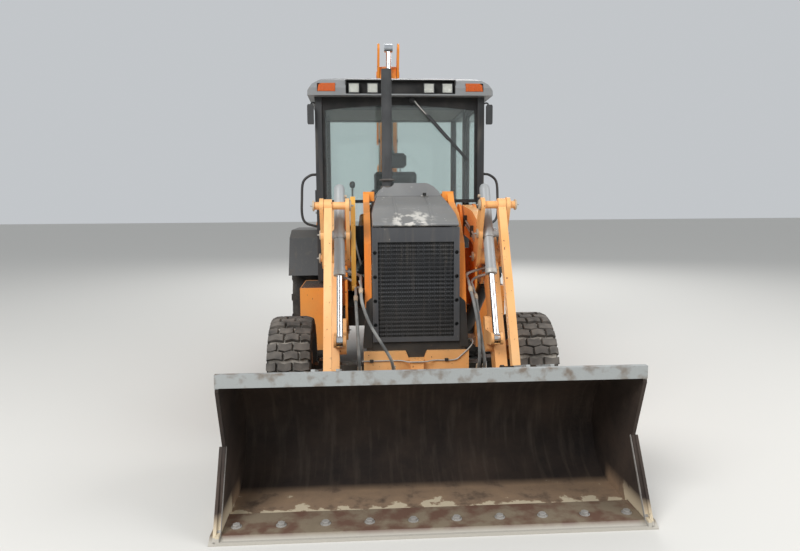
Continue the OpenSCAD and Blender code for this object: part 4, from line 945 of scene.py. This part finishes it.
def front_tyre(name):
    hub = tyre_centre("front_tyre_" + name)
    tyre = Piece("front_tyre_look_" + name, "front_wheel_" + name, rubber, groove_rubber, worn_tread)
    tyre.hoop(hub, LEFT, 0.0, both_flanks(
        (RIM_R, 0.8), (RIM_R + 0.02, 0.87), (RIM_R + 0.05, 0.97), (RIM_R + 0.09, 1.0),
        (FLOOR_R - 0.04, 0.98), (FLOOR_R - 0.012, 0.93)), 96)
    tyre.use(1).hoop(hub, LEFT, 0.0, both_flanks(
        (FLOOR_R - 0.014, 0.9), (FLOOR_R - 0.002, 0.86), (FLOOR_R, 0.6)), 96)
    pitch = 2 * pi * TYRE_R / ROWS
    long, point, wide, gap = pitch * 0.80, 0.013, 0.098, 0.010
    tyre.use(2)
    for row in range(ROWS):
        bend = 1 if row % 2 else -1
        shift = bend * 0.022
        inner, outer = shift - wide / 2, shift + wide / 2
        blocks = [[(inner, -long / 2), (shift, -long / 2 - bend * point), (outer, -long / 2),
                   (outer, long / 2), (shift, long / 2 - bend * point), (inner, long / 2)]]
        for way in (-1, 1):
            start, end = shift + way * (wide / 2 + gap), way * TYRE_HALF * 0.985
            mid = (start + end) / 2
            blocks.append([(start, -long / 2), (mid, -long / 2 - bend * point * 0.8), (end, -long / 2),
                           (end, long / 2 * 0.9), (mid, long / 2 - bend * point * 0.8), (start, long / 2)])
        for outline in blocks:
            cx = sum(p[0] for p in outline) / 6
            rings = []
            for r, k in ((FLOOR_R - 0.012, 1.0), (TYRE_R - 0.004, 0.95), (TYRE_R, 0.88)):
                ring = []
                for x, s in outline:
                    x = cx + (x - cx) * k
                    drop = max(0.0, abs(x) - TYRE_HALF * 0.72) * 0.45
                    a = 2 * pi * row / ROWS + s * k / TYRE_R
                    ring.append(hub + Vector((x, (r - drop) * cos(a), (r - drop) * sin(a))))
                rings.append(ring)
            tyre.skin(rings)
    made = tyre.done(crease=30, slot="tyre_rubber")
    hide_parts("front_tyre_" + name)


front_tyre("left")
front_tyre("right")


# %% Wheel nuts
def nuts(axle, name, side, ring, face):
    """Eight nuts on a ring of that radius. Face is how far out of the tyre's middle they sit."""
    hub = tyre_centre(axle + "_tyre_" + name)
    repeated(axle + "_nuts_" + name, axle + "_wheel_" + name,
             circle(hub + LEFT * side * face, BACK, UP, ring, 8), (side, 0, 0),
             bolt_head(0.015, 0.018), zinc)


for name, side in (("left", 1), ("right", -1)):
    nuts("front", name, side, 0.088, 0.0595)
    nuts("rear", name, side, 0.14, 0.0575)

# %% [markdown]
# ## The digging arm and the rear
# Pipes run up both sides of the boom, a valve bank with its spools stands on the rear frame, and a red
# and an amber lamp close each rear fender.

# %% Rear
FOOT = (5.41, 0.76)                     # the boom's lower pin


def up_boom(r, degrees, x=0.109):
    """A point beside the boom, at a distance from its lower pin and an angle above the way back."""
    a = radians(degrees)
    return at(x, FOOT[0] + r * cos(a), FOOT[1] + r * sin(a))


lines = Piece("boom_pipes", "boom", zinc, black_enamel)
for off in (-1.2, 0.6):
    lines.use(0).tube(curved([up_boom(0.35, 97.6 + off * 2), up_boom(0.9, 98.4 + off),
                              up_boom(1.6, 98.9 + off), up_boom(2.2, 97.8 + off)], 6), 0.009, 8)
for r in (0.6, 1.15, 1.7, 2.1):
    lines.use(1).skin([[up_boom(r + half, a, x) for half, a in ((-0.02, 96.2), (0.02, 96.2), (0.02, 99.9),
                                                                (-0.02, 99.9))] for x in (0.099, 0.121)])
lines.mirrored().done(bevel=0.001)
bank = Piece("valve_bank", "root", black_enamel, zinc)
bank.block((-0.24, 0.24), (4.78, 4.93), (0.95, 1.08))
for i in range(6):
    x = -0.2 + i * 0.08
    bank.use(0).block((x - 0.03, x + 0.03), (4.76, 4.94), (0.965, 1.065))
    for y, tall in ((4.82, 0.05), (4.89, 0.04)):
        bank.use(1).turned([(0, 0.014), (tall, 0.014), (tall + 0.005, 0.01)], at(x, y, 1.08), UP, 10)
bank.done(bevel=0.002)
tail = Piece("rear_lamps", "root", plastic, red_lens, amber)
tail.block((0.60, 0.742), (4.441, 4.452), (1.33, 1.392))
tail.use(1).block((0.606, 0.676), (4.452, 4.468), (1.337, 1.385))
tail.use(2).block((0.68, 0.736), (4.452, 4.468), (1.337, 1.385))
tail.mirrored().done(bevel=0.003)
steps = Piece("step_treads", "root", black_enamel)
for i in range(9):
    y = 2.51 + i * 0.06
    steps.block((0.66, 0.875), (y, y + 0.018), (0.9395, 0.945))
steps.mirrored().done(bevel=0.001)
rear_bolts = [at(x, 4.9605, z) for x in (-0.31, -0.2, 0.2, 0.31) for z in (0.455, 1.145)]
repeated("rear_frame_bolts", "root", rear_bolts, (0, 1, 0), bolt_head(0.014, 0.012), black_enamel)
# Flat caps, because the post's cheeks pass close to the rear frame when it swings
post_caps = Piece("swing_post_pin_caps", "swing_post", pale_cast)
post_caps.turned([(0, 0.036), (0.003, 0.036), (0.0035, 0.033)], at(0.137, *FOOT), LEFT, 20)
post_caps.mirrored().done(slot="cast_iron")

# %% [markdown]
# ## The floor and the light
# A pale floor, a wide soft lamp in front and above, and an even sky: plain light, at which a colour
# renders about as it was picked.

# %% Floor and light
FLOOR = 60.0                            # half the side of the floor
floor_mesh = bpy.data.meshes.new("floor")
floor_mesh.from_pydata([(-FLOOR, -FLOOR, 0), (FLOOR, -FLOOR, 0), (FLOOR, FLOOR, 0), (-FLOOR, FLOOR, 0)], [],
                       [(0, 1, 2, 3)])
floor = placed("floor", floor_mesh)
pale_floor = Finish("pale_floor")
pale_floor.put("Base Color", linear("CFCDC8"))
pale_floor.put("Roughness", 0.9)
floor.data.materials.append(pale_floor.material)


def soft_lamp(name, place, aim, size, watts):
    data = bpy.data.lights.new(name, "AREA")
    data.shape, data.size, data.energy = "SQUARE", size, watts
    lamp = placed(name, data)
    lamp.location = place
    lamp.rotation_euler = (Vector(aim) - Vector(place)).to_track_quat("-Z", "Y").to_euler()


soft_lamp("key", (-5.0, -8.5, 7.5), (0, -1, 1.0), 5.0, 900)
soft_lamp("fill", (7.0, -5.0, 5.0), (0, -1, 1.0), 5.0, 350)
soft_lamp("back", (2.0, 9.0, 7.0), (0, 1, 1.5), 5.0, 500)
world = bpy.data.worlds.new("sky")
world.use_nodes = True
sky = world.node_tree.nodes["Background"].inputs
sky["Color"].default_value, sky["Strength"].default_value = linear("E4E8EC"), 0.7
bpy.context.scene.world = world
bpy.context.scene.view_settings.view_transform = "Standard"
